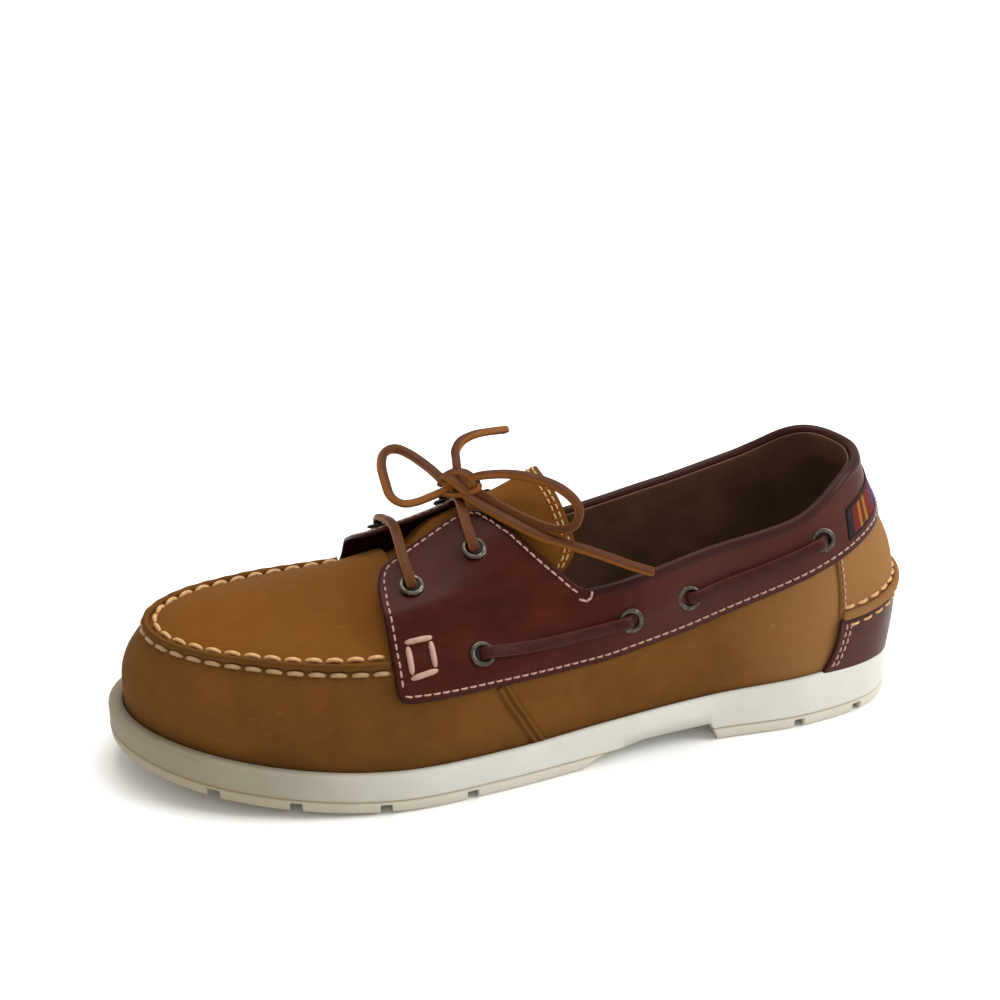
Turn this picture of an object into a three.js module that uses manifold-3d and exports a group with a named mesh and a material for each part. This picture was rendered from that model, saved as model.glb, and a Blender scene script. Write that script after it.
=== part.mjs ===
// Boat shoe for the left foot, empty, standing on its sole.
// Millimetres. +X is the toe, +Y the outer (lateral) side, +Z up. The ground is z = 0 and the origin lies
// under the middle of the shoe.
//
// The shoe is worked out from its last. A spine runs inside the last from heel to toe, and one rib rises from
// each point of the feather line, where the upper meets the sole, up to the crown over the spine. Every
// leather piece lies between two such forms, one offset further out than the other.
import * as THREE from "three";
import { mergeVertices } from "three/addons/utils/BufferGeometryUtils.js";
import Module from "manifold-3d";

const wasm = await Module();
wasm.setup();

// Driving dimensions
const LEATHER = 2.0; // wall of the upper
const OVERLAY = 1.5; // saddle and heel counter
const TONGUE = 1.8;
const GAP = 0.3; // between pieces that touch
const SPINE_HEEL = -112;
const SPINE_TOE = 92;
const SPINE_STATIONS = 17;
const HEEL_FAN = 7; // ribs round the heel and round the toe
const TOE_FAN = 9;
const SHOULDER_LEAN = THREE.MathUtils.degToRad(38); // how far the wall leans in at the moccasin seam
const TOE_SPRING = 11;
const BALL_X = 39; // the sole touches the ground behind here
const SPRING_POWER = 1.9;
const INSOLE = 3.5;
const TREAD = 3.5; // rubber below the sidewall line
const COLLAR_SETBACK = 1.0; // the upper ends this far below the saddle's top edge
const LACE = 3.2;
const EYELET_OUTER = 5.0; // radii
const EYELET_BORE = 2.5;
const EYELET_HOLE = 3.6;
const EYELET_SEAT = 0.6; // the flange stands this far off the curved leather
const FAR = 200; // longer than anything in the shoe

// The outsole seen from above, from the toe round the outer side, the heel and the inner side
const OUTLINE = [
  { x: 150, y: -8 }, { x: 143, y: 15 }, { x: 122, y: 36 }, { x: 90, y: 50 }, { x: 55, y: 55.5 },
  { x: 15, y: 51 }, { x: -25, y: 43.5 }, { x: -65, y: 38.5 }, { x: -105, y: 37.5 }, { x: -137, y: 26.5 },
  { x: -150, y: 0 }, { x: -137, y: -26.5 }, { x: -105, y: -37 }, { x: -65, y: -36 }, { x: -25, y: -37 },
  { x: 15, y: -43.5 }, { x: 55, y: -53.5 }, { x: 90, y: -55 }, { x: 122, y: -46 }, { x: 143, y: -29 },
];

// One section of the last for each station along the shoe.
// lip, floor: heights of the rubber cup's edge and floor; inset: width of that edge
// widest, bulge: height of the widest point of the wall and how far it stands out over the feather line
// shoulder, inOuter, inInner: height of the shoulder and how far each side has come in there
// crown, ridge: height of the crown and its place across; power, cone: roundness of the top
const SECTIONS = [
  { x: -150, lip: 22.5, floor: 13.0, inset: 2.5, widest: 46, bulge: 2.5, shoulder: 92, inOuter: 18,
    inInner: 18, crown: 120, ridge: 0, power: 2.6, cone: 0.05 },
  { x: -112, lip: 21.5, floor: 12.8, inset: 2.8, widest: 44, bulge: 2.2, shoulder: 86, inOuter: 6.5,
    inInner: 6, crown: 120, ridge: 0, power: 2.6, cone: 0.05 },
  { x: -60, lip: 19.0, floor: 11.8, inset: 3.0, widest: 38, bulge: 1.6, shoulder: 75, inOuter: 5.5,
    inInner: 3.5, crown: 112, ridge: 0.4, power: 2.5, cone: 0.1 },
  { x: -20, lip: 17.2, floor: 10.2, inset: 3.1, widest: 33, bulge: 1.2, shoulder: 64, inOuter: 5,
    inInner: 3.5, crown: 100, ridge: 1, power: 2.3, cone: 0.3 },
  { x: 10, lip: 16.2, floor: 8.6, inset: 3.3, widest: 30, bulge: 1.1, shoulder: 57, inOuter: 5.5,
    inInner: 5, crown: 87, ridge: 0.5, power: 2, cone: 0.7 },
  { x: 40, lip: 16.0, floor: 8.0, inset: 3.5, widest: 28, bulge: 1.4, shoulder: 54.5, inOuter: 7.5,
    inInner: 7.5, crown: 75, ridge: -1.5, power: 2, cone: 1.5 },
  { x: 70, lip: 16.8, floor: 8.4, inset: 4.0, widest: 27, bulge: 1.4, shoulder: 53, inOuter: 10.5,
    inInner: 10.5, crown: 65.5, ridge: -4, power: 2, cone: 1.8 },
  { x: 100, lip: 19.0, floor: 10.5, inset: 4.7, widest: 28, bulge: 1.0, shoulder: 53.6, inOuter: 12,
    inInner: 12, crown: 59.4, ridge: -6.5, power: 2, cone: 1.8 },
  { x: 130, lip: 22.5, floor: 15.0, inset: 5.5, widest: 31, bulge: 0.7, shoulder: 54, inOuter: 11,
    inInner: 11, crown: 59, ridge: -6.5, power: 2, cone: 1.8 },
  { x: 150, lip: 24.5, floor: 20.0, inset: 6.0, widest: 33, bulge: 0.5, shoulder: 54, inOuter: 10,
    inInner: 10, crown: 59, ridge: -6.5, power: 2, cone: 1.8 },
];

// The top edge of the collar from the back to the saddle, seen from the side
const COLLAR = [
  { x: -160, z: 97.8 }, { x: -125, z: 97.8 }, { x: -118, z: 96 }, { x: -106, z: 88.8 }, { x: -98, z: 85 },
  { x: -83, z: 81 }, { x: -60, z: 76.2 }, { x: -44, z: 72.6 }, { x: -28, z: 69.5 }, { x: -18, z: 68.6 },
];
// The saddle's flap behind the eyelets, from the collar up to the throat
const FLAP_REAR = [
  { x: -13, z: 70.4 }, { x: -6.4, z: 76.5 }, { x: 0, z: 82.2 }, { x: 5.5, z: 86.8 }, { x: 9.3, z: 90 },
  { x: 13, z: 95 }, { x: 14, z: FAR },
];
// The saddle's front edge and its lower edge from the front corner round to the heel
const SADDLE_BELOW = [
  { x: 56.2, z: FAR }, { x: 56, z: 60 }, { x: 55.4, z: 44 }, { x: 54, z: 42.8 }, { x: 27, z: 43.4 },
  { x: -20, z: 43.8 }, { x: -35, z: 45.8 }, { x: -51, z: 48.6 }, { x: -67, z: 52.7 }, { x: -82, z: 57.4 },
  { x: -98, z: 62.6 }, { x: -114, z: 67.6 }, { x: -132, z: 73.6 }, { x: -160, z: 79 },
];
// Half of the opening between the two flaps, seen from above, from the front corner back
const THROAT = [
  { x: 62, y: 36 }, { x: 56.4, y: 31 }, { x: 55.8, y: 25.3 }, { x: 54.7, y: 19.2 }, { x: 52.5, y: 14.7 },
  { x: 49.1, y: 12.6 }, { x: 38, y: 9 }, { x: 26, y: 6 }, { x: 21.6, y: 5.9 }, { x: 17.3, y: 7.9 },
  { x: 13.1, y: 12.6 }, { x: 8, y: 21 },
];
// The upper ends under the saddle along this line, seen from the side
const VAMP_TOP = [
  { x: -14, z: 66.5 }, { x: -4, z: 62.5 }, { x: 8, z: 58.5 }, { x: 42, z: 58 }, { x: 47, z: 60.5 },
  { x: 49.5, z: 65 }, { x: 50, z: FAR },
];
// The tongue, seen from the side
const TONGUE_EDGE = [
  { x: 62, z: FAR }, { x: 62, z: 62 }, { x: 52, z: 59 }, { x: 14, z: 59.2 }, { x: 4, z: 62 },
  { x: -9, z: 75 }, { x: -12.4, z: 79 }, { x: -13.8, z: 83.5 }, { x: -12.6, z: 89 }, { x: -11.2, z: 95.8 },
  { x: -9.6, z: 100 }, { x: -6.6, z: 103 }, { x: -6, z: FAR },
];
// The counter below the heel seam, seen from the side; its lower edge stands above the rubber
const COUNTER_TOP = [
  { x: -115.8, z: 41.6 }, { x: -126, z: 42.6 }, { x: -138, z: 44.4 }, { x: -160, z: 45.6 },
];
const COUNTER_FRONT = [{ x: -160, z: 23.6 }, { x: -112, z: 22.6 }, { x: -113.6, z: 27 }, { x: -115.4, z: 33.5 }];

// Eyelets on each side: on the flap, or along the band below the collar
const EYELETS = [
  { name: "throat_front", x: 44.7, z: 73.6 }, { name: "throat_rear", x: 20.9, z: 83.1 },
  { name: "band_front", x: 25, z: 54.6 }, { name: "band_waist", x: -31.6, z: 56.7 },
  { name: "band_quarter", x: -54.4, z: 61.2 }, { name: "band_heel", x: -106.8, z: 76.2 },
];
const SIDE_RUNS = [
  { name: "front", from: "band_front", to: "band_waist" },
  { name: "rear", from: "band_quarter", to: "band_heel" },
];

// Sole: the tread stops at the waist; x of its breasts, and the grooves across it
const WAIST = { front: -12, rear: -69, underside: 7.2 };
const HEEL_NOTCHES = [-101, -127];
const FOREFOOT_NOTCHES = [120, 93, 62, 30];
const NOTCH = { width: 3, depth: 3.2 };

// The bow, each route a list of points from the knot outwards
const KNOT = { x: 20.5, y: -2.5, z: 98.2, length: 9, width: 7.4, height: 6 };
const LOOP_FRONT = [
  [25.2, -6.2, 98.6], [28.2, -15, 100], [33, -24.2, 102], [37.4, -28.2, 103], [42.1, -25.4, 103],
  [44.6, -19.6, 101], [45.2, -11.4, 98], [44.8, -4.4, 95], [41.4, -0.6, 93.4], [36.4, -0.4, 93.4],
  [30.6, -1.2, 94.6], [26.6, -1.4, 95.8],
];
const LOOP_REAR = [
  [16.6, 1.6, 101.4], [12.4, 4.2, 103], [4.5, 8.4, 104.2], [-3.1, 14.2, 104.2], [-10.4, 19.8, 102.2],
  [-14.6, 25.6, 99.2], [-15.2, 30, 96.2], [-12.4, 31.8, 94], [-6.7, 27.6, 93.4], [0.6, 20.9, 95],
  [8.6, 12.4, 97], [13.8, 5, 97.8],
];
const END_SHORT = [
  [20.2, -4.2, 103.2], [19.4, -8.4, 104.6], [18.5, -12.5, 106.4], [15.2, -16.6, 108.2], [9.2, -20.5, 108.6],
  [2.1, -24.1, 107.6], [-5.1, -27.9, 106],
];
const END_LONG = [
  [18.6, 5.4, 96.2], [14.9, 11.4, 94.2], [7.7, 20, 91.6], [-0.9, 27.8, 88.2], [-11, 32.3, 85.2],
  [-21, 35.8, 81.8], [-31.2, 38.4, 77.6], [-39.9, 40.2, 74.4],
];

const leather = (color, roughness) => new THREE.MeshStandardMaterial({ color, roughness, metalness: 0 });
const TAN = leather("#8a5a24", 0.85);
const BROWN = leather("#4a1c12", 0.45);
const RUBBER = new THREE.MeshStandardMaterial({ color: "#d8d6ca", roughness: 0.7, metalness: 0 });
const LINING = leather("#2a251f", 0.9);
const NICKEL = new THREE.MeshStandardMaterial({ color: "#8d8a80", roughness: 0.35, metalness: 1 });
const LACE_TAN = leather("#9a5a28", 0.6);

// ---- curves through tables ----

// A smooth curve through one column of a table whose rows run up in x
function column(rows, name) {
  const slope = rows.map((row, i) => {
    const before = rows[Math.max(i - 1, 0)];
    const after = rows[Math.min(i + 1, rows.length - 1)];
    return (after[name] - before[name]) / (after.x - before.x);
  });
  return (x) => {
    const clamped = THREE.MathUtils.clamp(x, rows[0].x, rows[rows.length - 1].x);
    const i = Math.max(rows.findLastIndex((row, k) => row.x <= clamped && k < rows.length - 1), 0);
    const span = rows[i + 1].x - rows[i].x;
    const u = (clamped - rows[i].x) / span;
    const start = rows[i][name] * (1 + 2 * u) * (1 - u) ** 2 + slope[i] * span * u * (1 - u) ** 2;
    return start + rows[i + 1][name] * u * u * (3 - 2 * u) + slope[i + 1] * span * u * u * (u - 1);
  };
}

const last = Object.fromEntries(
  Object.keys(SECTIONS[0]).filter((name) => name !== "x").map((name) => [name, column(SECTIONS, name)]),
);
const smoothstep = (value, from, to) => THREE.MathUtils.smoothstep(value, from, to);
const groundClearance = (x) => TOE_SPRING * Math.max((x - BALL_X) / (150 - BALL_X), 0) ** SPRING_POWER;
const spineAt = (x) => THREE.MathUtils.clamp(x, SPINE_HEEL, SPINE_TOE);

// ---- the loops of points that ribs stand on ----

function outlineCurve() {
  const points = OUTLINE.map(({ x, y }) => new THREE.Vector3(x, y, 0));
  const curve = new THREE.CatmullRomCurve3(points, true, "catmullrom", 0.5);
  return curve.getPoints(OUTLINE.length * 24).slice(0, -1);
}

function movedIn(points, distance) {
  return points.map((point, i) => {
    const next = points[(i + 1) % points.length];
    const before = points[(i + points.length - 1) % points.length];
    const along = next.clone().sub(before).normalize();
    const inward = new THREE.Vector3(-along.y, along.x, 0);
    return point.clone().addScaledVector(inward, distance(point.x));
  });
}

// Points round the loop: pairs at the same x beside the spine, and fans round the heel and the toe
function stations(points) {
  const run = [0];
  points.forEach((point, i) => run.push(run[i] + point.distanceTo(points[(i + 1) % points.length])));
  const total = run[points.length];
  const at = (distance) => {
    const d = ((distance % total) + total) % total;
    const i = run.findLastIndex((r, k) => r <= d && k < points.length);
    return points[i].clone().lerp(points[(i + 1) % points.length], (d - run[i]) / (run[i + 1] - run[i]));
  };
  const half = points.length / 2;
  const crossing = (x, first) => {
    for (let i = first; i < first + half; i++) {
      const a = points[i];
      const b = points[(i + 1) % points.length];
      if ((a.x - x) * (b.x - x) <= 0) return run[i] + ((x - a.x) / (b.x - a.x)) * (run[i + 1] - run[i]);
    }
    throw new Error(`no crossing at ${x}`);
  };
  const beside = (x, first) => {
    const point = at(crossing(x, first));
    point.x = x;
    return point;
  };
  const fan = (from, to, count) =>
    Array.from({ length: count }, (_, i) => at(from + ((to - from) * (i + 1)) / (count + 1)));
  const xs = Array.from({ length: SPINE_STATIONS }, (_, i) =>
    SPINE_TOE + ((SPINE_HEEL - SPINE_TOE) * i) / (SPINE_STATIONS - 1));
  return [
    ...xs.map((x) => beside(x, 0)),
    ...fan(crossing(SPINE_HEEL, 0), crossing(SPINE_HEEL, half), HEEL_FAN),
    ...xs.toReversed().map((x) => beside(x, half)),
    ...fan(crossing(SPINE_TOE, half), crossing(SPINE_TOE, 0) + total, TOE_FAN),
  ];
}

const outline = outlineCurve();
const featherLine = movedIn(outline, last.inset);
const featherStations = stations(featherLine);
const outlineStations = stations(outline);

// ---- ribs ----

// How far the saddle's flaps stand off the vamp, highest beside the throat
const flapLift = (x, rho) => 6.3 * smoothstep(x, -60, -10) * (1 - smoothstep(rho, 0.72, 1));
// The tongue leaves the inside of the vamp at the throat and follows the flaps
const tongueLift = (x, rho) => 7.4 * (1 - smoothstep(x, 28, 43)) * (1 - smoothstep(rho, 0.72, 1));
const noLift = () => 0;

// The section through one feather point: distances from the spine and heights, from the floor to the crown
function section(foot, offset, lift) {
  const spineX = spineAt(foot.x);
  const spine = new THREE.Vector2(spineX, last.ridge(spineX));
  const out = new THREE.Vector2(foot.x, foot.y).sub(spine);
  const reach = out.length();
  out.normalize();
  const value = Object.fromEntries(Object.entries(last).map(([name, f]) => [name, f(foot.x)]));
  const crown = last.crown(spineX);
  const wide = reach + value.bulge;
  const inner = (1 - out.y) / 2;
  const shoulderR = wide - THREE.MathUtils.lerp(value.inOuter, value.inInner, inner);
  const { floor, widest, shoulder, power, cone } = value;
  const full = Math.sqrt(1 + cone ** power) - 1;
  const slope = (((cone ** power * power) / 2 / Math.sqrt(1 + cone ** power) / full) * (crown - shoulder)) / shoulderR;
  const lean = THREE.MathUtils.lerp(Math.PI / 2 - Math.atan(slope), SHOULDER_LEAN, smoothstep(foot.x, 20, 60));
  const height = shoulder - widest;
  const points = [];
  for (let i = 0; i < 2; i++) {
    const u = i / 2;
    points.push([reach + value.bulge * Math.sin((u * Math.PI) / 2), floor + (widest - floor) * u]);
  }
  const wall = new THREE.CubicBezierCurve(
    new THREE.Vector2(wide, widest),
    new THREE.Vector2(wide, widest + 0.45 * height),
    new THREE.Vector2(shoulderR + 0.4 * height * Math.sin(lean), shoulder - 0.4 * height * Math.cos(lean)),
    new THREE.Vector2(shoulderR, shoulder),
  );
  wall.getPoints(4).slice(0, -1).forEach((p) => points.push([p.x, p.y]));
  for (let i = 0; i <= 6; i++) {
    const rho = 1 - i / 6;
    const drop = ((crown - shoulder) * (Math.sqrt(1 + (cone * rho) ** power) - 1)) / full;
    points.push([shoulderR * rho, crown - drop + lift(spineX, rho)]);
  }
  const moved = points.map(([r, z], i) => {
    if (i === points.length - 1) return [0, z + offset];
    const [r0, z0] = points[Math.max(i - 1, 0)];
    const [r1, z1] = points[i + 1];
    const length = i === 0 ? 1 : Math.hypot(r1 - r0, z1 - z0);
    const along = i === 0 ? [0, 1] : [(r1 - r0) / length, (z1 - z0) / length];
    return [Math.max(r + offset * along[1], 0), z - offset * along[0]];
  });
  return { spine, out, points: moved };
}

const onRib = ({ spine, out }, [r, z]) => new THREE.Vector3(spine.x + out.x * r, spine.y + out.y * r, z);

// ---- solids ----

function toSolid(geometry) {
  const bare = geometry.clone();
  bare.deleteAttribute("normal");
  bare.deleteAttribute("uv");
  const merged = mergeVertices(bare, 1e-4);
  const index = merged.index.array;
  const triVerts = [];
  for (let i = 0; i < index.length; i += 3) {
    const [a, b, c] = [index[i], index[i + 1], index[i + 2]];
    if (a !== b && b !== c && c !== a) triVerts.push(a, b, c);
  }
  const vertProperties = new Float32Array(merged.attributes.position.array);
  return new wasm.Manifold(new wasm.Mesh({ numProp: 3, vertProperties, triVerts: new Uint32Array(triVerts) }));
}

function toGeometry(solid) {
  const mesh = solid.getMesh();
  const geometry = new THREE.BufferGeometry();
  geometry.setAttribute("position", new THREE.BufferAttribute(new Float32Array(mesh.vertProperties), 3));
  geometry.setIndex(new THREE.BufferAttribute(new Uint32Array(mesh.triVerts), 1));
  return geometry;
}

// A closed skin over ribs that stand in a ring; each rib starts and ends on the spine
function skin(ribs) {
  const rows = ribs[0].length;
  const position = ribs.flatMap((rib) => rib.flatMap((p) => [p.x, p.y, p.z]));
  const index = [];
  ribs.forEach((_, i) => {
    const next = (i + 1) % ribs.length;
    for (let j = 0; j < rows - 1; j++) {
      const [a, b, c, d] = [i * rows + j, next * rows + j, next * rows + j + 1, i * rows + j + 1];
      index.push(a, b, c, a, c, d);
    }
  });
  const geometry = new THREE.BufferGeometry();
  geometry.setAttribute("position", new THREE.BufferAttribute(new Float32Array(position), 3));
  geometry.setIndex(index);
  return toSolid(geometry);
}

// The last, grown by an offset; below it reaches down to the cup's floor less a depth
function form(offset, depth = 0, lift = noLift) {
  return skin(featherStations.map((foot) => {
    const rib = section(foot, offset, lift);
    const bottom = last.floor(foot.x) - depth;
    const spineBottom = last.floor(rib.spine.x) - depth;
    const points = rib.points.map((point) => onRib(rib, point));
    const lowest = onRib(rib, [rib.points[0][0], bottom]);
    return [onRib(rib, [0, spineBottom]), lowest, ...(depth > 0 ? points : points.slice(1))];
  }));
}

// A prism across the whole shoe with the given side view
function sidePrism(outlinePoints, from = -FAR, to = FAR) {
  const shape = new THREE.Shape(outlinePoints.map(({ x, z }) => new THREE.Vector2(x, z)));
  const geometry = new THREE.ExtrudeGeometry(shape, { depth: to - from, bevelEnabled: false });
  geometry.rotateX(Math.PI / 2);
  geometry.translate(0, to, 0);
  return toSolid(geometry);
}

function planPrism(outlinePoints) {
  const shape = new THREE.Shape(outlinePoints.map(({ x, y }) => new THREE.Vector2(x, y)));
  const geometry = new THREE.ExtrudeGeometry(shape, { depth: FAR, bevelEnabled: false });
  return toSolid(geometry);
}

const lowered = (points, drop) => points.map(({ x, z }) => ({ x, z: z - drop }));
const above = (points) => [
  ...points, { x: points[points.length - 1].x, z: FAR }, { x: points[0].x, z: FAR },
];

// ---- places on the leather ----

// The point and the outward direction on the offset form at station x and height z, on either side
function onLeather(x, z, side, offset, lift = noLift) {
  const foot = footAt(x, side);
  const here = crossingPoint(foot, z, offset, lift);
  const ahead = crossingPoint(footAt(x + 2, side), z, offset, lift);
  const above1 = crossingPoint(foot, z + 2, offset, lift);
  const normal = new THREE.Vector3().crossVectors(ahead.sub(here), above1.sub(here)).normalize();
  if (normal.y * side < 0) normal.negate();
  return { point: here, normal };
}

function footAt(x, side) {
  const half = featherLine.length / 2;
  const first = side > 0 ? 0 : half;
  for (let i = first; i < first + half; i++) {
    const a = featherLine[i];
    const b = featherLine[(i + 1) % featherLine.length];
    if ((a.x - x) * (b.x - x) <= 0) return a.clone().lerp(b, (x - a.x) / (b.x - a.x));
  }
  throw new Error(`no foot at ${x}`);
}

function crossingPoint(foot, z, offset, lift) {
  const rib = section(foot, offset, lift);
  const i = rib.points.findIndex(([, height], k) => k > 0 && height >= z);
  const [r0, z0] = rib.points[i - 1];
  const [r1, z1] = rib.points[i];
  const u = (z - z0) / (z1 - z0);
  return onRib(rib, [r0 + (r1 - r0) * u, z]);
}

function turned(geometry, point, direction) {
  geometry.applyQuaternion(new THREE.Quaternion().setFromUnitVectors(new THREE.Vector3(0, 1, 0), direction));
  geometry.translate(point.x, point.y, point.z);
  return geometry;
}

// ---- pieces ----

function outsole() {
  const ribs = outlineStations.map((edge) => {
    const spine = new THREE.Vector3(spineAt(edge.x), last.ridge(spineAt(edge.x)), 0);
    const inward = spine.clone().sub(edge).normalize();
    const ring = (inset, z) => edge.clone().addScaledVector(inward, inset).setZ(z);
    const ground = groundClearance(edge.x);
    const lip = last.lip(edge.x);
    return [
      spine.clone().setZ(groundClearance(spine.x)), ring(3, ground), ring(1.2, ground + 0.6),
      ring(0.4, ground + TREAD), ring(0, ground + TREAD + 2), ring(0.3, lip - 1), ring(1.2, lip),
      spine.clone().setZ(last.lip(spine.x)),
    ];
  });
  const cup = form(GAP, GAP);
  const waist = sidePrism([
    { x: WAIST.front, z: -1 }, { x: WAIST.front - 3, z: 1.5 }, { x: WAIST.front - 8, z: 4.4 },
    { x: WAIST.front - 26, z: WAIST.underside }, { x: WAIST.rear + 4, z: WAIST.underside + 0.6 },
    { x: WAIST.rear, z: -1 },
  ].toReversed());
  const notches = [...HEEL_NOTCHES, ...FOREFOOT_NOTCHES].map((x) => {
    const top = groundClearance(x) + NOTCH.depth;
    const [front, rear] = [x + NOTCH.width / 2, x - NOTCH.width / 2];
    return sidePrism([{ x: rear, z: -1 }, { x: front, z: -1 }, { x: front, z: top }, { x: rear, z: top }]);
  });
  return notches.reduce((sole, notch) => sole.subtract(notch), skin(ribs).subtract(cup).subtract(waist));
}

function throatOpening() {
  const inner = THROAT.map(({ x, y }) => ({ x, y: -1 - y }));
  return planPrism([...THROAT, ...inner.toReversed()].toReversed());
}

function eyeletHoles(names) {
  const cutters = [];
  EYELETS.filter(({ name }) => names.test(name)).forEach(({ x, z }) => {
    [1, -1].forEach((side) => {
      const { point, normal } = onLeather(x, z, side, GAP + OVERLAY, flapLift);
      const cutter = new THREE.CylinderGeometry(EYELET_HOLE, EYELET_HOLE, 14, 8);
      cutters.push(toSolid(turned(cutter, point, normal)));
    });
  });
  return cutters;
}

const cutAll = (solid, cutters) => cutters.reduce((rest, cutter) => rest.subtract(cutter), solid);

function upper() {
  const opening = sidePrism(above([...lowered(COLLAR, COLLAR_SETBACK), ...VAMP_TOP].slice(0, -1)));
  const shell = form(0).subtract(form(-LEATHER, 6)).subtract(opening);
  return cutAll(shell, eyeletHoles(/^band/));
}

function saddle() {
  const sheet = form(GAP + OVERLAY, 0, flapLift).subtract(form(GAP, 1, flapLift));
  const side = sidePrism([...COLLAR, ...FLAP_REAR, ...SADDLE_BELOW].toReversed());
  return cutAll(sheet.intersect(side).subtract(throatOpening()), eyeletHoles(/./));
}

function heelCounter() {
  const sheet = form(GAP + OVERLAY).subtract(form(GAP, 1));
  return sheet.intersect(sidePrism([...COUNTER_FRONT, ...COUNTER_TOP]));
}

function tongue() {
  const top = -LEATHER - GAP;
  const sheet = form(top, 0, tongueLift).subtract(form(top - TONGUE, 1, tongueLift));
  return sheet.intersect(sidePrism(TONGUE_EDGE.toReversed()));
}

function insole() {
  return skin(featherStations.map((foot) => {
    const rib = section(foot, -LEATHER - GAP, noLift);
    const r = rib.points[0][0] - 0.2;
    const [low, spineLow] = [last.floor(foot.x), last.floor(rib.spine.x)];
    return [
      onRib(rib, [0, spineLow]), onRib(rib, [r, low]), onRib(rib, [r, low + INSOLE - 0.8]),
      onRib(rib, [r - 1, low + INSOLE]), onRib(rib, [0, spineLow + INSOLE]),
    ];
  }));
}

// A rolled ring through the leather: its flange outside, its barrel in the hole
function eyelet(x, z, side) {
  const { point, normal } = onLeather(x, z, side, GAP + OVERLAY, flapLift);
  point.addScaledVector(normal, EYELET_SEAT);
  const barrel = EYELET_HOLE - GAP;
  const profile = [
    [EYELET_BORE, -1.4], [barrel, -1.4], [barrel, 0], [EYELET_OUTER, 0], [EYELET_OUTER - 0.5, 0.9],
    [EYELET_BORE, 1], [EYELET_BORE, -1.4],
  ].map(([r, y]) => new THREE.Vector2(r, y));
  return turned(new THREE.LatheGeometry(profile, 8), point, normal);
}

function cord(points, diameter, steps) {
  const path = new THREE.CatmullRomCurve3(points, false, "centripetal");
  const section8 = new THREE.Shape(Array.from({ length: 8 }, (_, i) => {
    const angle = (i * Math.PI) / 4;
    return new THREE.Vector2(Math.cos(angle), Math.sin(angle)).multiplyScalar(diameter / 2);
  }));
  return new THREE.ExtrudeGeometry(section8, { steps, bevelEnabled: false, extrudePath: path });
}

// A stretch of lace along the band, from inside one eyelet to inside the next
function sideRun({ from, to }, side) {
  const start = EYELETS.find(({ name }) => name === from);
  const end = EYELETS.find(({ name }) => name === to);
  const lie = (u, out) => {
    const x = THREE.MathUtils.lerp(start.x, end.x, u);
    const z = THREE.MathUtils.lerp(start.z, end.z, u);
    const { point, normal } = onLeather(x, z, side, GAP + OVERLAY, flapLift);
    return point.addScaledVector(normal, out);
  };
  const span = Math.hypot(end.x - start.x, end.z - start.z);
  const near = 2.6 / span;
  const clear = LACE / 2 + 1.8;
  return cord([
    lie(0, -1), lie(0, 1.6), lie(near, clear), lie(near * 3, clear), lie(0.5, LACE / 2 + 0.6),
    lie(1 - near * 3, clear), lie(1 - near, clear), lie(1, 1.6), lie(1, -1),
  ], LACE - 0.4, 12);
}

// The lace across the throat from one eyelet to its partner, over both flaps
function crossing(name, crest) {
  const { x, z } = EYELETS.find((row) => row.name === name);
  const half = (side) => {
    const { point, normal } = onLeather(x, z, side, GAP + OVERLAY, flapLift);
    const rise = [-1, 2.4].map((out) => point.clone().addScaledVector(normal, out));
    const over = [0.35, 0.75].map((u) => {
      const height = THREE.MathUtils.lerp(z, last.crown(x) + 6, u);
      const place = onLeather(x, height, side, GAP + OVERLAY, flapLift);
      return place.point.addScaledVector(place.normal, LACE / 2 + 1.8);
    });
    return [...rise, ...over];
  };
  const middle = new THREE.Vector3(x, last.ridge(x), crest);
  return cord([...half(1), middle, ...half(-1).toReversed()], LACE - 0.4, 14);
}

function knot() {
  const geometry = new THREE.SphereGeometry(1, 10, 6);
  geometry.scale(KNOT.length / 2, KNOT.width / 2, KNOT.height / 2);
  return geometry.translate(KNOT.x, KNOT.y, KNOT.z);
}

const bowCord = (route, steps) => cord(route.map((p) => new THREE.Vector3(...p)), LACE, steps);

// ---- the assembly ----

const shoe = new THREE.Group();
shoe.name = "boat_shoe";

function add(name, geometry, material) {
  const mesh = new THREE.Mesh(geometry, material);
  mesh.name = name;
  shoe.add(mesh);
}

add("outsole", toGeometry(outsole()), RUBBER);
add("upper", toGeometry(upper()), TAN);
add("saddle", toGeometry(saddle()), BROWN);
add("heel_counter", toGeometry(heelCounter()), BROWN);
add("tongue", toGeometry(tongue()), TAN);
add("insole", toGeometry(insole()), LINING);
[{ side: 1, label: "outer" }, { side: -1, label: "inner" }].forEach(({ side, label }) => {
  EYELETS.forEach(({ name, x, z }) => add(`eyelet_${label}_${name}`, eyelet(x, z, side), NICKEL));
  SIDE_RUNS.forEach((run) => add(`lace_${label}_${run.name}`, sideRun(run, side), BROWN));
});
add("lace_bar_front", crossing("throat_front", 84.6), LACE_TAN);
add("lace_bar_rear", crossing("throat_rear", 93), LACE_TAN);
add("bow_knot", knot(), LACE_TAN);
add("bow_loop_front", bowCord(LOOP_FRONT, 20), LACE_TAN);
add("bow_loop_rear", bowCord(LOOP_REAR, 20), LACE_TAN);
add("bow_end_short", bowCord(END_SHORT, 10), LACE_TAN);
add("bow_end_long", bowCord(END_LONG, 10), LACE_TAN);

export default shoe;
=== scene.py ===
"""A left boat shoe: tan nubuck with a moccasin seam, a dark pull-up saddle with side lacing, a rawhide bow
and a white rubber cup sole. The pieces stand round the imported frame, in metres; shapes are worked out in
millimetres, +X to the toe, +Y to the outer side, +Z up."""
import math

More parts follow.
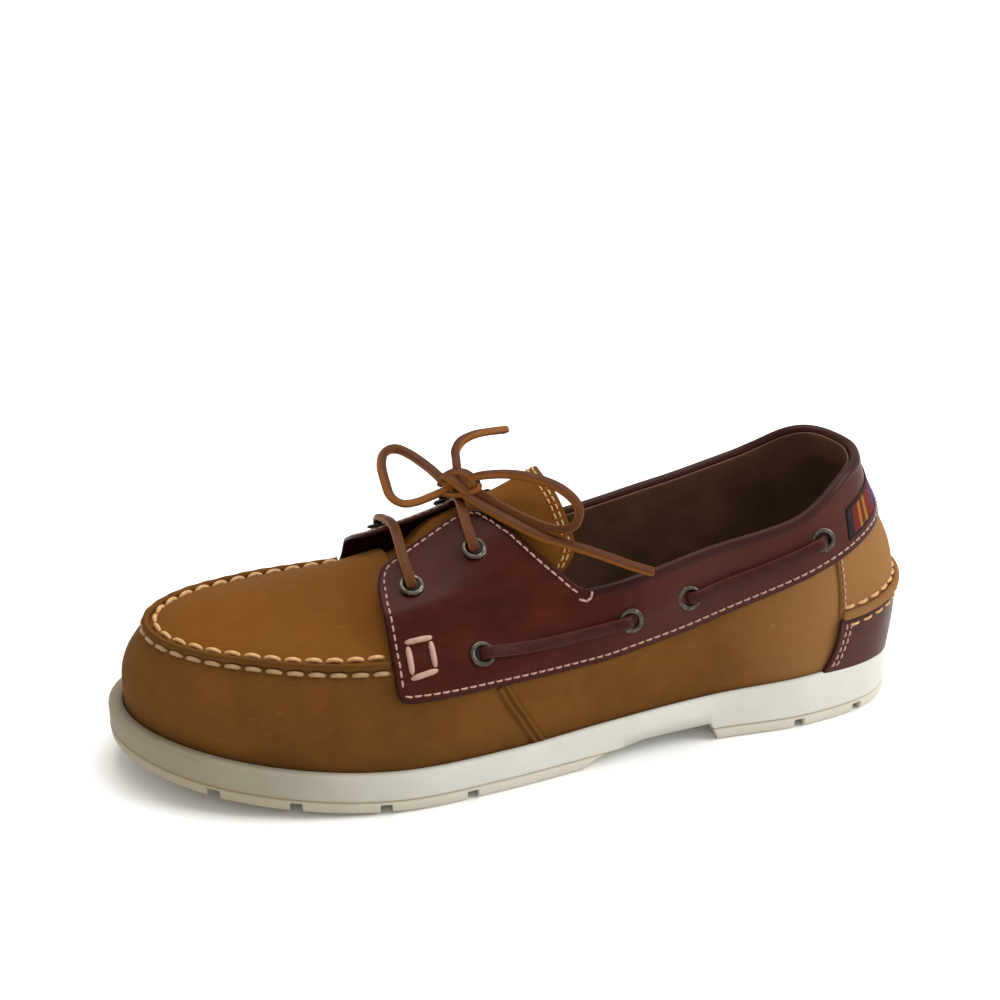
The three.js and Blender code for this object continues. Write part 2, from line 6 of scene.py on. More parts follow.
import bmesh
import bpy
import numpy as np
from bpy.props import FloatProperty, FloatVectorProperty, IntProperty, PointerProperty
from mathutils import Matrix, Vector


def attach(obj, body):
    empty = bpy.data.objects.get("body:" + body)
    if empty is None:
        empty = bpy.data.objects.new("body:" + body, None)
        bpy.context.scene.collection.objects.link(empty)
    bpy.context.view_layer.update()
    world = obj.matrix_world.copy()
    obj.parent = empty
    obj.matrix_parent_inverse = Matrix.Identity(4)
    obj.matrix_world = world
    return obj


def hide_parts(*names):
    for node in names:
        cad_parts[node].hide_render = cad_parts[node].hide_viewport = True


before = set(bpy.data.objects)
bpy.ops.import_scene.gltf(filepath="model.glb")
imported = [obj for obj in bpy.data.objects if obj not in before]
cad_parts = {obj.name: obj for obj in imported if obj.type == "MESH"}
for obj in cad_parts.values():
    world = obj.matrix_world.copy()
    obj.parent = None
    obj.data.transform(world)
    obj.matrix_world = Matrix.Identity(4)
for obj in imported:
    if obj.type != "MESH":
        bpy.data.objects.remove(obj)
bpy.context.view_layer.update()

bl_info = {
    "name": "Boat shoe",
    "version": (1, 0, 0),
    "blender": (4, 5, 0),
    "location": "View3D > Sidebar > Boat shoe",
    "description": "Builds a laced boat shoe piece by piece round its frame",
    "category": "Add Mesh",
}

MM = 0.001

# ---- colours ----


def linear(code):
    """An sRGB hex colour as the linear red, green, blue and alpha that shaders use."""
    values = [int(code[i:i + 2], 16) / 255 for i in (1, 3, 5)]
    return tuple([v / 12.92 if v <= 0.04045 else ((v + 0.055) / 1.055) ** 2.4 for v in values] + [1.0])


def size(name, description, default):
    """A length in millimetres that the sidebar shows."""
    return FloatProperty(name=name, description=description, default=default, min=0.0, precision=2)


def colour(name, description, code):
    return FloatVectorProperty(name=name, description=description, default=linear(code)[:3], size=3, min=0.0,
                               max=1.0, subtype="COLOR")


class ShoeSizes(bpy.types.PropertyGroup):
    """Sizes in millimetres that a maker would change"""
    leather: size("Upper leather", "Thickness of the nubuck", 2.0)
    overlay: size("Overlay leather", "Thickness of the saddle and the heel counter", 1.5)
    tongue: size("Tongue", "Thickness of the tongue", 1.8)
    gap: size("Gap", "Air between pieces that lie on each other", 0.3)
    lace: size("Lace", "Width of the square rawhide lace", 3.2)
    side_lace: size("Side lace", "Width of the flat lace along the side", 4.4)
    seam_pitch: size("Seam pitch", "Length of one stitch of the moccasin seam", 7.4)
    seam_thread: size("Seam thread", "Thickness of the moccasin seam's thread", 1.7)
    fine_pitch: size("Fine pitch", "Length of one stitch along the saddle's edges", 3.3)
    fine_thread: size("Fine thread", "Thickness of the thread along the saddle's edges", 0.75)
    eyelet: size("Eyelet", "Outer radius of an eyelet's flange", 4.6)
    eyelet_bore: size("Eyelet bore", "Inner radius of an eyelet", 2.7)
    rim: size("Collar roll", "Thickness of the rolled collar", 4.4)
    siping: size("Siping", "Depth of the wavy cuts in the tread", 1.4)
    tread: size("Tread", "Height of the tread layer below the sidewall line", 4.7)


class ShoeColours(bpy.types.PropertyGroup):
    """Colours of the shoe's materials"""
    nubuck: colour("Nubuck", "Tan nubuck of the sides", "#643e16")
    nubuck_dark: colour("Nubuck shade", "Darker, handled nubuck", "#4c2e0e")
    plug: colour("Plug", "Oranger nubuck on top of the toes", "#693c0b")
    saddle: colour("Saddle", "Red-brown pull-up leather", "#3e1105")
    saddle_dark: colour("Saddle shade", "Nearly black red in its folds", "#2a0c05")
    # The band colour is partly the leather's own purplish tone and partly a painted reflection of the
    # window.
    band: colour("Band", "Purplish brown along the collar", "#42211b")
    rubber: colour("Rubber", "Off-white rubber", "#c0c0b7")
    # Partly the rubber's yellowing, partly painted shade on the toe side.
    rubber_toe_yellow_shade: colour("Aged rubber", "Yellowed rubber round the toe", "#6b5a3a")
    thread: colour("Seam thread", "Thick waxed thread of the moccasin seam", "#c0935c")
    fine_thread: colour("Fine thread", "Thin thread along the saddle", "#a37e72")
    lace: colour("Lace", "Grain side of the rawhide lace", "#4c270e")
    lace_cut: colour("Cut edge", "Paler cut sides of the rawhide lace", "#83501f")
    lining: colour("Lining", "Brown leather lining", "#674630")
    insole: colour("Insole", "Charcoal insole", "#1f1e1b")
    eyelet: colour("Eyelet", "Aged nickel", "#625c54")


class ShoeDetail(bpy.types.PropertyGroup):
    """How finely the pieces are divided"""
    across: IntProperty(name="Rows", description="Rows of faces up a panel", default=44, min=12, max=80)
    heel_ribs: IntProperty(name="Heel ribs", description="Ribs round the heel", default=68, min=16, max=120)
    toe_ribs: IntProperty(name="Toe ribs", description="Ribs round the toe", default=104, min=16, max=160)


def sizes():
    return bpy.context.scene.shoe_sizes


def over_leather():
    """How far the outside of the saddle and the counter lies off the upper."""
    return sizes().gap + sizes().overlay


def colours():
    return bpy.context.scene.shoe_colours


def detail():
    return bpy.context.scene.shoe_detail


# ---- the last: the form that every leather piece lies on, in millimetres ----

SPINE_HEEL, SPINE_TOE = -112.0, 92.0
SHOULDER_LEAN = math.radians(38)
TOE_SPRING, BALL_X, TOE_X, SPRING_POWER = 11.0, 39.0, 150.0, 1.9

# The outsole seen from above, from the toe round the outer side, the heel and the inner side
OUTLINE = [
    (150, -8), (143, 15), (122, 36), (90, 50), (55, 55.5), (15, 51), (-25, 43.5), (-65, 38.5), (-105, 37.5),
    (-137, 26.5), (-150, 0), (-137, -26.5), (-105, -37), (-65, -36), (-25, -37), (15, -43.5), (55, -53.5),
    (90, -55), (122, -46), (143, -29),
]

# One section of the last for each station along the shoe: its place, then heights and widths of the rubber
# lip, the floor, the widest point, the shoulder and the crown, and the roundness of the top
SECTION_COLUMNS = ("x", "lip", "floor", "inset", "widest", "bulge", "shoulder", "in_outer", "in_inner",
                   "crown", "ridge", "power", "cone")
SECTIONS = [
    (-150, 22.5, 13.0, 2.5, 46, 2.5, 92, 18, 18, 120, 0, 2.6, 0.05),
    (-112, 21.5, 12.8, 2.8, 44, 2.2, 86, 6.5, 6, 120, 0, 2.6, 0.05),
    (-60, 19.0, 11.8, 3.0, 38, 1.6, 75, 5.5, 3.5, 112, 0.4, 2.5, 0.1),
    (-20, 17.2, 10.2, 3.1, 33, 1.2, 64, 5, 3.5, 100, 1, 2.3, 0.3),
    (10, 16.2, 8.6, 3.3, 30, 1.1, 57, 5.5, 5, 87, 0.5, 2, 0.7),
    (40, 16.0, 8.0, 3.5, 28, 1.4, 54.5, 7.5, 7.5, 75, -1.5, 2, 1.5),
    (70, 16.8, 8.4, 4.0, 27, 1.4, 53, 10.5, 10.5, 65.5, -4, 2, 1.8),
    (100, 19.0, 10.5, 4.7, 28, 1.0, 53.6, 12, 12, 59.4, -6.5, 2, 1.8),
    (130, 22.5, 15.0, 5.5, 31, 0.7, 54, 11, 11, 59, -6.5, 2, 1.8),
    (150, 24.5, 20.0, 6.0, 33, 0.5, 54, 10, 10, 59, -6.5, 2, 1.8),
]

# The collar's top edge and the saddle's flap from the back forwards, seen from the side (x, z)
COLLAR = [(-160, 97.8), (-125, 97.8), (-118, 96), (-106, 88.8), (-98, 85), (-83, 81), (-60, 76.2),
          (-44, 72.6), (-28, 69.5), (-18, 68.6)]
FLAP_REAR = [(-18, 68.6), (-13, 70.4), (-6.4, 76.5), (0, 82.2), (5.5, 86.8), (9.3, 90), (13, 95), (14, 130)]
# The saddle's lower edge from the heel to its front corner (x, z)
SADDLE_LOWER = [(-160, 79), (-132, 73.6), (-114, 67.6), (-98, 62.6), (-82, 57.4), (-67, 52.7), (-51, 48.6),
                (-35, 45.8), (-20, 43.8), (27, 43.4), (50, 42.9), (54, 43.1), (55.2, 44.2), (55.9, 46.5)]
# Half of the opening between the flaps, seen from above (x, y)
THROAT = [(8, 21), (13.1, 12.6), (17.3, 7.9), (21.6, 5.9), (26, 6), (38, 9), (49.1, 12.6), (52.5, 14.7),
          (54.7, 19.2), (55.8, 25.3), (56.0, 31)]
THROAT_MIDDLE = -0.5
SADDLE_FRONT = 55.9
# The tongue's free edge seen from the side, from its side up to its top (z, x)
TONGUE_REAR = [(59, 16), (62, 6), (68, -2), (75, -9), (79, -12.4), (83.5, -13.8), (89, -12.8), (95.8, -11.4),
               (100, -9.6), (103, -6.8)]
# The counter's top edge (x, z) and front edge (z, x)
COUNTER_TOP = [(-160, 45.6), (-138, 44.4), (-126, 42.8), (-115.8, 42.2)]
COUNTER_FRONT = [(18, -109), (22.6, -111.6), (27, -113.4), (33.5, -115.2), (42, -115.9)]

EYELETS = {
    "throat_front": (44.7, 73.6), "throat_rear": (20.9, 83.1), "band_front": (25, 54.6),
    "band_waist": (-31.6, 56.7), "band_quarter": (-54.4, 61.2), "band_heel": (-106.8, 76.2),
}
SIDE_RUNS = [("band_front", "band_waist", "front"), ("band_quarter", "band_heel", "rear")]
SIDES = {"outer": 1, "inner": -1}


def smooth(value, low, high):
    """0 below low, 1 above high and a smooth rise between."""
    u = np.clip((np.asarray(value, float) - low) / (high - low), 0, 1)
    return u * u * (3 - 2 * u)


def through(rows, value=1):
    """A smooth curve through one column of rows that run up in their first column."""
    place = np.array([row[0] for row in rows], float)
    level = np.array([row[value] for row in rows], float)
    slope = np.empty_like(level)
    slope[1:-1] = (level[2:] - level[:-2]) / (place[2:] - place[:-2])
    slope[0] = (level[1] - level[0]) / (place[1] - place[0])
    slope[-1] = (level[-1] - level[-2]) / (place[-1] - place[-2])

    def at(x):
        x = np.clip(np.asarray(x, float), place[0], place[-1])
        i = np.clip(np.searchsorted(place, x, side="right") - 1, 0, len(place) - 2)
        span = place[i + 1] - place[i]
        u = (x - place[i]) / span
        start = level[i] * (1 + 2 * u) * (1 - u) ** 2 + slope[i] * span * u * (1 - u) ** 2
        return start + level[i + 1] * u * u * (3 - 2 * u) + slope[i + 1] * span * u * u * (u - 1)

    return at


LAST = {name: through(SECTIONS, i) for i, name in enumerate(SECTION_COLUMNS) if i}


def ground(x):
    """How far the sole's underside stands off the ground."""
    return TOE_SPRING * np.clip((np.asarray(x, float) - BALL_X) / (TOE_X - BALL_X), 0, 1) ** SPRING_POWER


def catmull(points, steps, closed=False):
    """A smooth line through points, with so many steps from one to the next."""
    points = np.array(points, float)
    if closed:
        points = np.vstack([points[-1:], points, points[:2]])
    else:
        points = np.vstack([2 * points[0] - points[1], points, 2 * points[-1] - points[-2]])
    u = (np.arange(steps) / steps)[:, None]
    line = []
    for p0, p1, p2, p3 in zip(points, points[1:], points[2:], points[3:]):
        line.append(0.5 * (2 * p1 + (p2 - p0) * u + (2 * p0 - 5 * p1 + 4 * p2 - p3) * u * u
                           + (3 * p1 - p0 - 3 * p2 + p3) * u ** 3))
    line = np.vstack(line)
    return line if closed else np.vstack([line, points[-2]])


def run_of(line):
    """The distance along a line at each of its points."""
    return np.concatenate([[0], np.cumsum(np.linalg.norm(np.diff(line, axis=0), axis=1))])


def read_at(places, run, values):
    """Rows of values known at distances along a line, read at other distances."""
    return np.stack([np.interp(places, run, column) for column in values.T], axis=1)


def along(line, places):
    """The points at those distances along a line."""
    return read_at(places, run_of(line), line)


def unit(vectors):
    """Rows of vectors brought to length one."""
    return vectors / np.maximum(np.linalg.norm(vectors, axis=1, keepdims=True), 1e-9)


def spaced(line, step):
    """The line again with evenly spaced points, about a step apart."""
    total = run_of(line)[-1]
    return along(line, np.linspace(0, total, max(2, int(round(total / step)) + 1)))


SOLE_EDGE = catmull(OUTLINE, 40, closed=True)


def moved_in(points, distance):
    """A closed line seen from above, moved inwards by a distance for each point."""
    ahead = np.roll(points, -1, 0) - np.roll(points, 1, 0)
    inward = np.stack([-ahead[:, 1], ahead[:, 0]], 1) / np.linalg.norm(ahead, axis=1)[:, None]
    return points + inward * np.asarray(distance)[:, None]


FEATHER = moved_in(SOLE_EDGE, LAST["inset"](SOLE_EDGE[:, 0]))


class Feet:
    """Points round the shoe that ribs stand on: pairs at one x beside the spine, fans at heel and toe"""

    def __init__(self, line, xs, heel, toe):
        self.line = np.vstack([line, line[:1]])
        self.run = run_of(self.line)
        half = len(line) // 2
        xs = np.sort(np.asarray(xs, float))[::-1]
        outer = [self.crossing(x, 0, half) for x in xs]
        inner = [self.crossing(x, half, 2 * half) for x in xs[::-1]]
        back = np.linspace(outer[-1], inner[0], heel + 2)[1:-1]
        total = self.run[-1]
        front = np.linspace(inner[-1], outer[0] + total, toe + 2)[1:-1] % total
        places = np.concatenate([outer, back, inner, front])
        self.points = read_at(places, self.run, self.line)
        count = len(xs)
        self.points[:count, 0] = xs
        self.points[count + heel:2 * count + heel, 0] = xs[::-1]
        self.outer = slice(0, count)
        self.heel = slice(count, count + heel)
        self.inner = slice(count + heel, 2 * count + heel)
        self.round_heel = np.arange(0, 2 * count + heel)
        self.heel_fan = np.arange(count - 1, count + heel + 1)

    def crossing(self, x, first, last):
        a, b = self.line[first:last, 0] - x, self.line[first + 1:last + 1, 0] - x
        i = np.nonzero(a * b <= 0)[0][0]
        share = a[i] / (a[i] - b[i]) if a[i] != b[i] else 0.0
        i += first
        return self.run[i] + share * (self.run[i + 1] - self.run[i])


def no_lift(x, rho):
    return 0.0 * rho


def flap_lift(x, rho):
    """How far the saddle's flaps stand off the vamp, highest beside the throat."""
    return 6.3 * smooth(x, -60, -10) * (1 - smooth(rho, 0.72, 1))


def tongue_lift(x, rho):
    """The tongue leaves the vamp's inside at the throat and follows the flaps."""
    return 7.4 * (1 - smooth(x, 28, 43)) * (1 - smooth(rho, 0.72, 1))


LOW, WALL, TOP = 12, 28, 60  # points of a rib below its widest place, up to the shoulder, and over the top


class Form:
    """The last grown by an offset: dense ribs of points with outward normals"""

    def __init__(self, feet, offset=0.0, lift=no_lift):
        foot = feet.points if isinstance(feet, Feet) else np.asarray(feet, float).reshape(-1, 2)
        spine_x = np.clip(foot[:, 0], SPINE_HEEL, SPINE_TOE)
        self.spine = np.stack([spine_x, LAST["ridge"](spine_x)], 1)
        out = foot - self.spine
        reach = np.linalg.norm(out, axis=1)
        self.out = out / reach[:, None]
        at = {name: column(foot[:, 0])[:, None] for name, column in LAST.items()}
        crown = LAST["crown"](spine_x)[:, None]
        wide = reach[:, None] + at["bulge"]
        inner = (1 - self.out[:, 1:2]) / 2
        shoulder_r = wide - (at["in_outer"] * (1 - inner) + at["in_inner"] * inner)
        power, cone = at["power"], at["cone"]
        full = np.sqrt(1 + cone ** power) - 1
        drop = crown - at["shoulder"]
        slope = cone ** power * power / 2 / np.sqrt(1 + cone ** power) / full * drop / shoulder_r
        exposed = smooth(foot[:, 0:1], 20, 60)
        lean = (math.pi / 2 - np.arctan(slope)) * (1 - exposed) + SHOULDER_LEAN * exposed
        height = at["shoulder"] - at["widest"]
        u = np.arange(LOW)[None] / LOW
        low_r = reach[:, None] + at["bulge"] * np.sin(u * math.pi / 2)
        low_z = at["floor"] + (at["widest"] - at["floor"]) * u
        u = np.arange(WALL)[None] / WALL
        a, b, c, d = (1 - u) ** 3, 3 * u * (1 - u) ** 2, 3 * u * u * (1 - u), u ** 3
        near_r = shoulder_r + 0.4 * height * np.sin(lean)
        near_z = at["shoulder"] - 0.4 * height * np.cos(lean)
        wall_r = (a + b) * wide + c * near_r + d * shoulder_r
        wall_z = a * at["widest"] + b * (at["widest"] + 0.45 * height) + c * near_z + d * at["shoulder"]
        rho = 1 - np.arange(TOP + 1)[None] / TOP
        top_z = crown - drop * (np.sqrt(1 + (cone * rho) ** power) - 1) / full
        top_z = top_z + lift(spine_x[:, None], rho)
        r = np.concatenate([low_r, wall_r, shoulder_r * rho], axis=1)
        z = np.concatenate([low_z, wall_z, top_z], axis=1)
        dr, dz = np.gradient(r, axis=1), np.gradient(z, axis=1)
        length = np.hypot(dr, dz)
        normal_r, normal_z = dz / length, -dr / length
        normal_r[:, 0], normal_z[:, 0] = 1, 0
        normal_r[:, -1], normal_z[:, -1] = 0, 1
        self.r, self.z = np.maximum(r + offset * normal_r, 0), z + offset * normal_z
        self.normal_r, self.normal_z = normal_r, normal_z
        self.count = self.r.shape[1]

    def places(self):
        """x, y, z of every point, as three arrays of ribs by points."""
        return (self.spine[:, :1] + self.out[:, :1] * self.r, self.spine[:, 1:] + self.out[:, 1:] * self.r,
                self.z)

    def first(self, above):
        """How far up each rib a test first holds, between 0 and the last point."""
        x, y, z = self.places()
        value = above(x, y, z)
        crossed = (value[:, 1:] >= 0) & (value[:, :-1] < 0)
        i = np.where(crossed.any(1), crossed.argmax(1), self.count - 2)
        rows = np.arange(len(i))
        before, after = value[rows, i], value[rows, i + 1]
        share = np.clip(-before / np.where(after == before, 1, after - before), 0, 1)
        return np.where(value[:, 0] >= 0, 0.0, i + share)

    def at(self, s, rows=None):
        """Points and normals at fractional places s up the ribs; s is ribs by places."""
        s = np.clip(s, 0, self.count - 1)
        rows = np.arange(len(self.r))[:, None] if rows is None else np.asarray(rows)[:, None]
        i = np.minimum(s.astype(int), self.count - 2)
        u = s - i
        pick = [grid[rows, i] * (1 - u) + grid[rows, i + 1] * u
                for grid in (self.r, self.z, self.normal_r, self.normal_z)]
        r, z, normal_r, normal_z = pick
        spine, out = self.spine[rows[:, 0]], self.out[rows[:, 0]]
        point = np.stack([spine[:, :1] + out[:, :1] * r, spine[:, 1:] + out[:, 1:] * r, z], -1)
        normal = np.stack([out[:, :1] * normal_r, out[:, 1:] * normal_r, normal_z], -1)
        return point, normal / np.linalg.norm(normal, axis=-1, keepdims=True)

    def between(self, low, high, rows, ribs=None):
        """A grid of points and normals from low to high up the ribs."""
        share = np.linspace(0, 1, rows)[None]
        low, high = np.asarray(low)[:, None], np.asarray(high)[:, None]
        s = low + (high - low) * share
        if ribs is not None:
            s = s[ribs]
        return self.at(s, ribs)


def below(curve):
    """A test for Form.first: above a curve of height against x."""
    return lambda x, y, z: z - curve(x)


def feather_at(x, side):
    """The feather line's point at x on one side."""
    half = len(FEATHER) // 2
    line = FEATHER[:half] if side > 0 else FEATHER[half:]
    order = np.argsort(line[:, 0])
    return np.stack([np.asarray(x, float), np.interp(x, line[order, 0], line[order, 1])], -1)


def on_leather(x, z, side, offset, lift=no_lift):
    """The points and outward normals at x and height z on one side of a form."""
    x, z = np.atleast_1d(np.asarray(x, float)), np.atleast_1d(np.asarray(z, float))
    form = Form(feather_at(x, side), offset, lift)
    s = form.first(lambda px, py, pz: pz - z[:, None])
    point, _ = form.at(s[:, None])
    ahead = Form(feather_at(x + 1.5, side), offset, lift)
    ahead_point, _ = ahead.at(ahead.first(lambda px, py, pz: pz - z[:, None])[:, None])
    above_point, _ = form.at(s[:, None] + 1.0)
    normal = np.cross((ahead_point - point)[:, 0], (above_point - point)[:, 0])
    normal /= np.linalg.norm(normal, axis=1)[:, None]
    normal *= np.where(normal[:, 1:2] * side < 0, -1, 1)
    return point[:, 0], normal


# ---- meshes ----


def write_values(data, **attributes):
    """Writes a number for each point of a mesh, under each name."""
    for key, values in attributes.items():
        layer = data.attributes.new(key, "FLOAT", "POINT")
        layer.data.foreach_set("value", np.asarray(values, np.float32).ravel())


def mesh_piece(name, points, faces, material, smooth_faces=True, **attributes):
    """A mesh object at the origin with its points given in millimetres."""
    data = bpy.data.meshes.new(name)
    data.from_pydata((np.asarray(points, float).reshape(-1, 3) * MM).tolist(), [], faces)
    write_values(data, **attributes)
    data.materials.append(material)
    data.polygons.foreach_set("use_smooth", [smooth_faces] * len(data.polygons))
    data.update()
    piece = bpy.data.objects.new(name, data)
    bpy.context.scene.collection.objects.link(piece)
    return piece


def settle(piece, slot, *nodes):
    """The piece rides on the shoe's one body and stands for some nodes, whose parts it hides; the slot is
    not used.
    """
    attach(piece, "root")
    if nodes:
        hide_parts(*nodes)
    return piece


def grid_faces(rows, columns, first=0, ring=False):
    """Faces of a grid of points, rows by columns; a ring joins its last row to its first."""
    faces = []
    for i in range(rows if ring else rows - 1):
        a, b = first + i * columns, first + (i + 1) % rows * columns
        faces += [(a + j, b + j, b + j + 1, a + j + 1) for j in range(columns - 1)]
    return faces


def tube_faces(rings, around):
    """Faces between rings of points, each ring joined to the next, open at both ends."""
    faces = []
    for i in range(rings - 1):
        a, b = i * around, (i + 1) * around
        faces += [(a + j, a + (j + 1) % around, b + (j + 1) % around, b + j) for j in range(around)]
    return faces


def flipped(faces):
    return [face[::-1] for face in faces]


def rim_loops(rows, columns, ring):
    """The border of a grid as loops of indices, each with the neighbour inside the border."""
    index = np.arange(rows * columns).reshape(rows, columns)
    if ring:
        return [(index[:, 0], index[:, 1]), (index[::-1, -1], index[::-1, -2])]
    loop = np.concatenate([index[:, 0], index[-1, 1:], index[-2::-1, -1], index[0, -2:0:-1]])
    inside = np.concatenate([index[:, 1], index[-2, 1:], index[-2::-1, -2], index[1, -2:0:-1]])
    inside[0], inside[rows - 1] = index[1, 1], index[-2, 1]
    inside[rows - 1 + columns - 1] = index[-2, -2]
    inside[rows - 1 + columns - 1 + rows - 1] = index[1, -2]
    return [(loop, inside)]


def plate(name, points, normals, thickness, material, ring=False, roundness=4):
    """Leather of a real thickness: a grid of outer points, its inner side and a rounded edge all round."""
    rows, columns = points.shape[:2]
    outer = points.reshape(-1, 3)
    normal = normals.reshape(-1, 3)
    middle = outer - normal * thickness / 2
    every = [outer, outer - normal * thickness]
    count = rows * columns
    faces = grid_faces(rows, columns, 0, ring) + flipped(grid_faces(rows, columns, count, ring))
    edge = edge_distance(points, ring)
    edges = [edge, edge]
    total = 2 * count
    for loop, inside in rim_loops(rows, columns, ring):
        outwards = middle[loop] - middle[inside]
        outwards -= (outwards * normal[loop]).sum(1, keepdims=True) * normal[loop]
        ahead = unit(np.roll(middle[loop], -1, 0) - np.roll(middle[loop], 1, 0))
        outwards -= (outwards * ahead).sum(1, keepdims=True) * ahead
        outwards = unit(outwards)
        strips = [loop]
        for k in range(1, roundness):
            angle = math.pi * k / roundness
            every.append(middle[loop] + thickness / 2 * (normal[loop] * math.cos(angle)
                                                         + outwards * math.sin(angle)))
            edges.append(np.zeros(len(loop)))
            strips.append(np.arange(len(loop)) + total)
            total += len(loop)
        strips.append(loop + count)
        size_of_loop = len(loop)
        for near, far in zip(strips, strips[1:]):
            faces += [(int(near[i]), int(far[i]), int(far[(i + 1) % size_of_loop]),
                       int(near[(i + 1) % size_of_loop])) for i in range(size_of_loop)]
    return mesh_piece(name, np.vstack(every), faces, material, edge=np.concatenate(edges))


def edge_distance(points, ring=False):
    """Distance in millimetres from each grid point to the grid's border, measured along the grid."""
    def from_ends(steps, axis):
        run = np.cumsum(steps, axis=axis)
        zero = np.zeros_like(np.take(run, [0], axis))
        run = np.concatenate([zero, run], axis=axis)
        return np.minimum(run, np.take(run, [-1], axis) - run)

    up = from_ends(np.linalg.norm(np.diff(points, axis=1), axis=2), 1)
    if ring:
        return up.ravel()
    return np.minimum(up, from_ends(np.linalg.norm(np.diff(points, axis=0), axis=2), 0)).ravel()


def frames_along(line, up=(0, 0, 1)):
    """Tangent, side and up along a line, with the up carried along so that it doesn't twist."""
    tangent = unit(np.gradient(line, axis=0))
    ups = np.empty_like(line)
    current = np.array(up, float)
    for i, direction in enumerate(tangent):
        current = current - (current @ direction) * direction
        current /= np.linalg.norm(current)
        ups[i] = current
    return tangent, np.cross(tangent, ups), ups


def squared(count, width, height, power=4.0):
    """A rounded rectangle as count points: across and up."""
    angle = np.arange(count) / count * 2 * math.pi + math.pi / count
    c, s = np.cos(angle), np.sin(angle)
    scale = (np.abs(c) ** power + np.abs(s) ** power) ** (-1 / power)
    return np.stack([c * scale * width / 2, s * scale * height / 2], 1)


def strap(name, line, section, material, ups=None, up=(0, 0, 1), twist=0.0, cut_high=True):
    """A lace along a line: a rounded section swept with closed, softly rounded tips."""
    tangent, side, carried = frames_along(line, up)
    if ups is not None:
        carried = unit(ups - (ups * tangent).sum(1, keepdims=True) * tangent)
        side = np.cross(tangent, carried)
    turn = (np.linspace(0, 1, len(line)) * twist)[:, None]
    across = side * np.cos(turn) + carried * np.sin(turn)
    upward = carried * np.cos(turn) - side * np.sin(turn)
    shrink = np.ones(len(line))
    shrink[[0, -1]] = 0.86
    ring = (line[:, None] + across[:, None] * section[None, :, :1] * shrink[:, None, None]
            + upward[:, None] * section[None, :, 1:] * shrink[:, None, None])
    count, around = ring.shape[:2]
    faces = tube_faces(count, around)
    points = np.vstack([ring.reshape(-1, 3), line[0] - tangent[0] * 0.25, line[-1] + tangent[-1] * 0.25])
    low, high = count * around, count * around + 1
    faces += [(low, (j + 1) % around, j) for j in range(around)]
    last = (count - 1) * around
    faces += [(high, last + j, last + (j + 1) % around) for j in range(around)]
    half = np.abs(section).max(0)
    reach = np.abs(section) / half
    cut = smooth(reach[:, 0] - reach[:, 1] if cut_high else reach[:, 1] - reach[:, 0], -0.15, 0.35)
    cut = np.concatenate([np.tile(cut, count), [1.0, 1.0]])
    run = np.repeat(run_of(line), around)
    run = np.concatenate([run, [0, run[-1]]])
    return mesh_piece(name, points, faces, material, cut=cut, run=run)


def joined(name, pieces):
    """Several meshes as one."""
    with bpy.context.temp_override(active_object=pieces[0], selected_editable_objects=pieces,
                                   selected_objects=pieces, object=pieces[0]):
        bpy.ops.object.join()
    pieces[0].name = name
    pieces[0].data.name = name
    return pieces[0]


def soft_dent(points, troughs):
    """How far a surface sinks at each point: creases given as (line of points, width, depth)."""
    sunk = np.zeros(points.shape[:-1])
    for line, width, depth in troughs:
        line = spaced(catmull(line, 8), 1.2)
        flat = points.reshape(-1, 3)
        gap = np.full(len(flat), 1e9)
        place = np.zeros(len(flat))
        for k, spot in enumerate(line):
            here = np.linalg.norm(flat - spot, axis=1)
            nearer = here < gap
            gap = np.where(nearer, here, gap)
            place = np.where(nearer, k / (len(line) - 1), place)
        fade = np.sin(math.pi * np.clip(place, 0.04, 0.96)) ** 0.6
        sunk += (depth * fade * np.exp(-(gap / width) ** 2)).reshape(sunk.shape)
    return sunk


# ---- materials ----


def node(tree, kind, settings=None, inputs=None):
    """Adds a node, sets its properties and fills its inputs with values or links other nodes' outputs."""
    made = tree.nodes.new(kind)
    for key, value in (settings or {}).items():
        setattr(made, key, value)
    for key, value in (inputs or {}).items():
        if isinstance(value, bpy.types.NodeSocket):
            tree.links.new(value, made.inputs[key])
        else:
            made.inputs[key].default_value = value
    return made


def ramp(tree, factor, stops):
    """A colour ramp from (place, colour) stops."""
    made = node(tree, "ShaderNodeValToRGB", None, {"Fac": factor})
    elements = made.color_ramp.elements
    while len(elements) < len(stops):
        elements.new(0.5)
    for element, (place, shade) in zip(elements, stops):
        element.position = place
        element.color = shade
    return made.outputs["Color"]


def math_node(tree, operation, a, b=0.0, clamp=False):
    settings = {"operation": operation, "use_clamp": clamp}
    return node(tree, "ShaderNodeMath", settings, {0: a, 1: b}).outputs[0]


def mixed(tree, factor, a, b):
    """Two colours mixed."""
    made = node(tree, "ShaderNodeMix", {"data_type": "RGBA", "blend_type": "MIX"})
    for index, value in ((0, factor), (6, a), (7, b)):
        if isinstance(value, bpy.types.NodeSocket):
            tree.links.new(value, made.inputs[index])
        else:
            made.inputs[index].default_value = value
    return made.outputs[2]


def stained(tree, ground_colour, where, strength, code):
    """A stain of one colour laid over another, as strong as its pattern says."""
    return mixed(tree, math_node(tree, "MULTIPLY", where, strength), ground_colour, linear(code))


def noise(tree, place, grain_mm, detail=3.0, roughness=0.55):
    """Noise whose features are about grain_mm apart."""
    return node(tree, "ShaderNodeTexNoise", None, {
        "Vector": place, "Scale": 1 / (grain_mm * MM), "Detail": detail, "Roughness": roughness,
    }).outputs["Fac"]


def spread_of(tree, value, low, high):
    """A value from low to high taken as 0 to 1, held within them."""
    return node(tree, "ShaderNodeMapRange", {"clamp": True, "interpolation_type": "SMOOTHSTEP"}, {
        "Value": value, "From Min": low, "From Max": high,
    }).outputs["Result"]


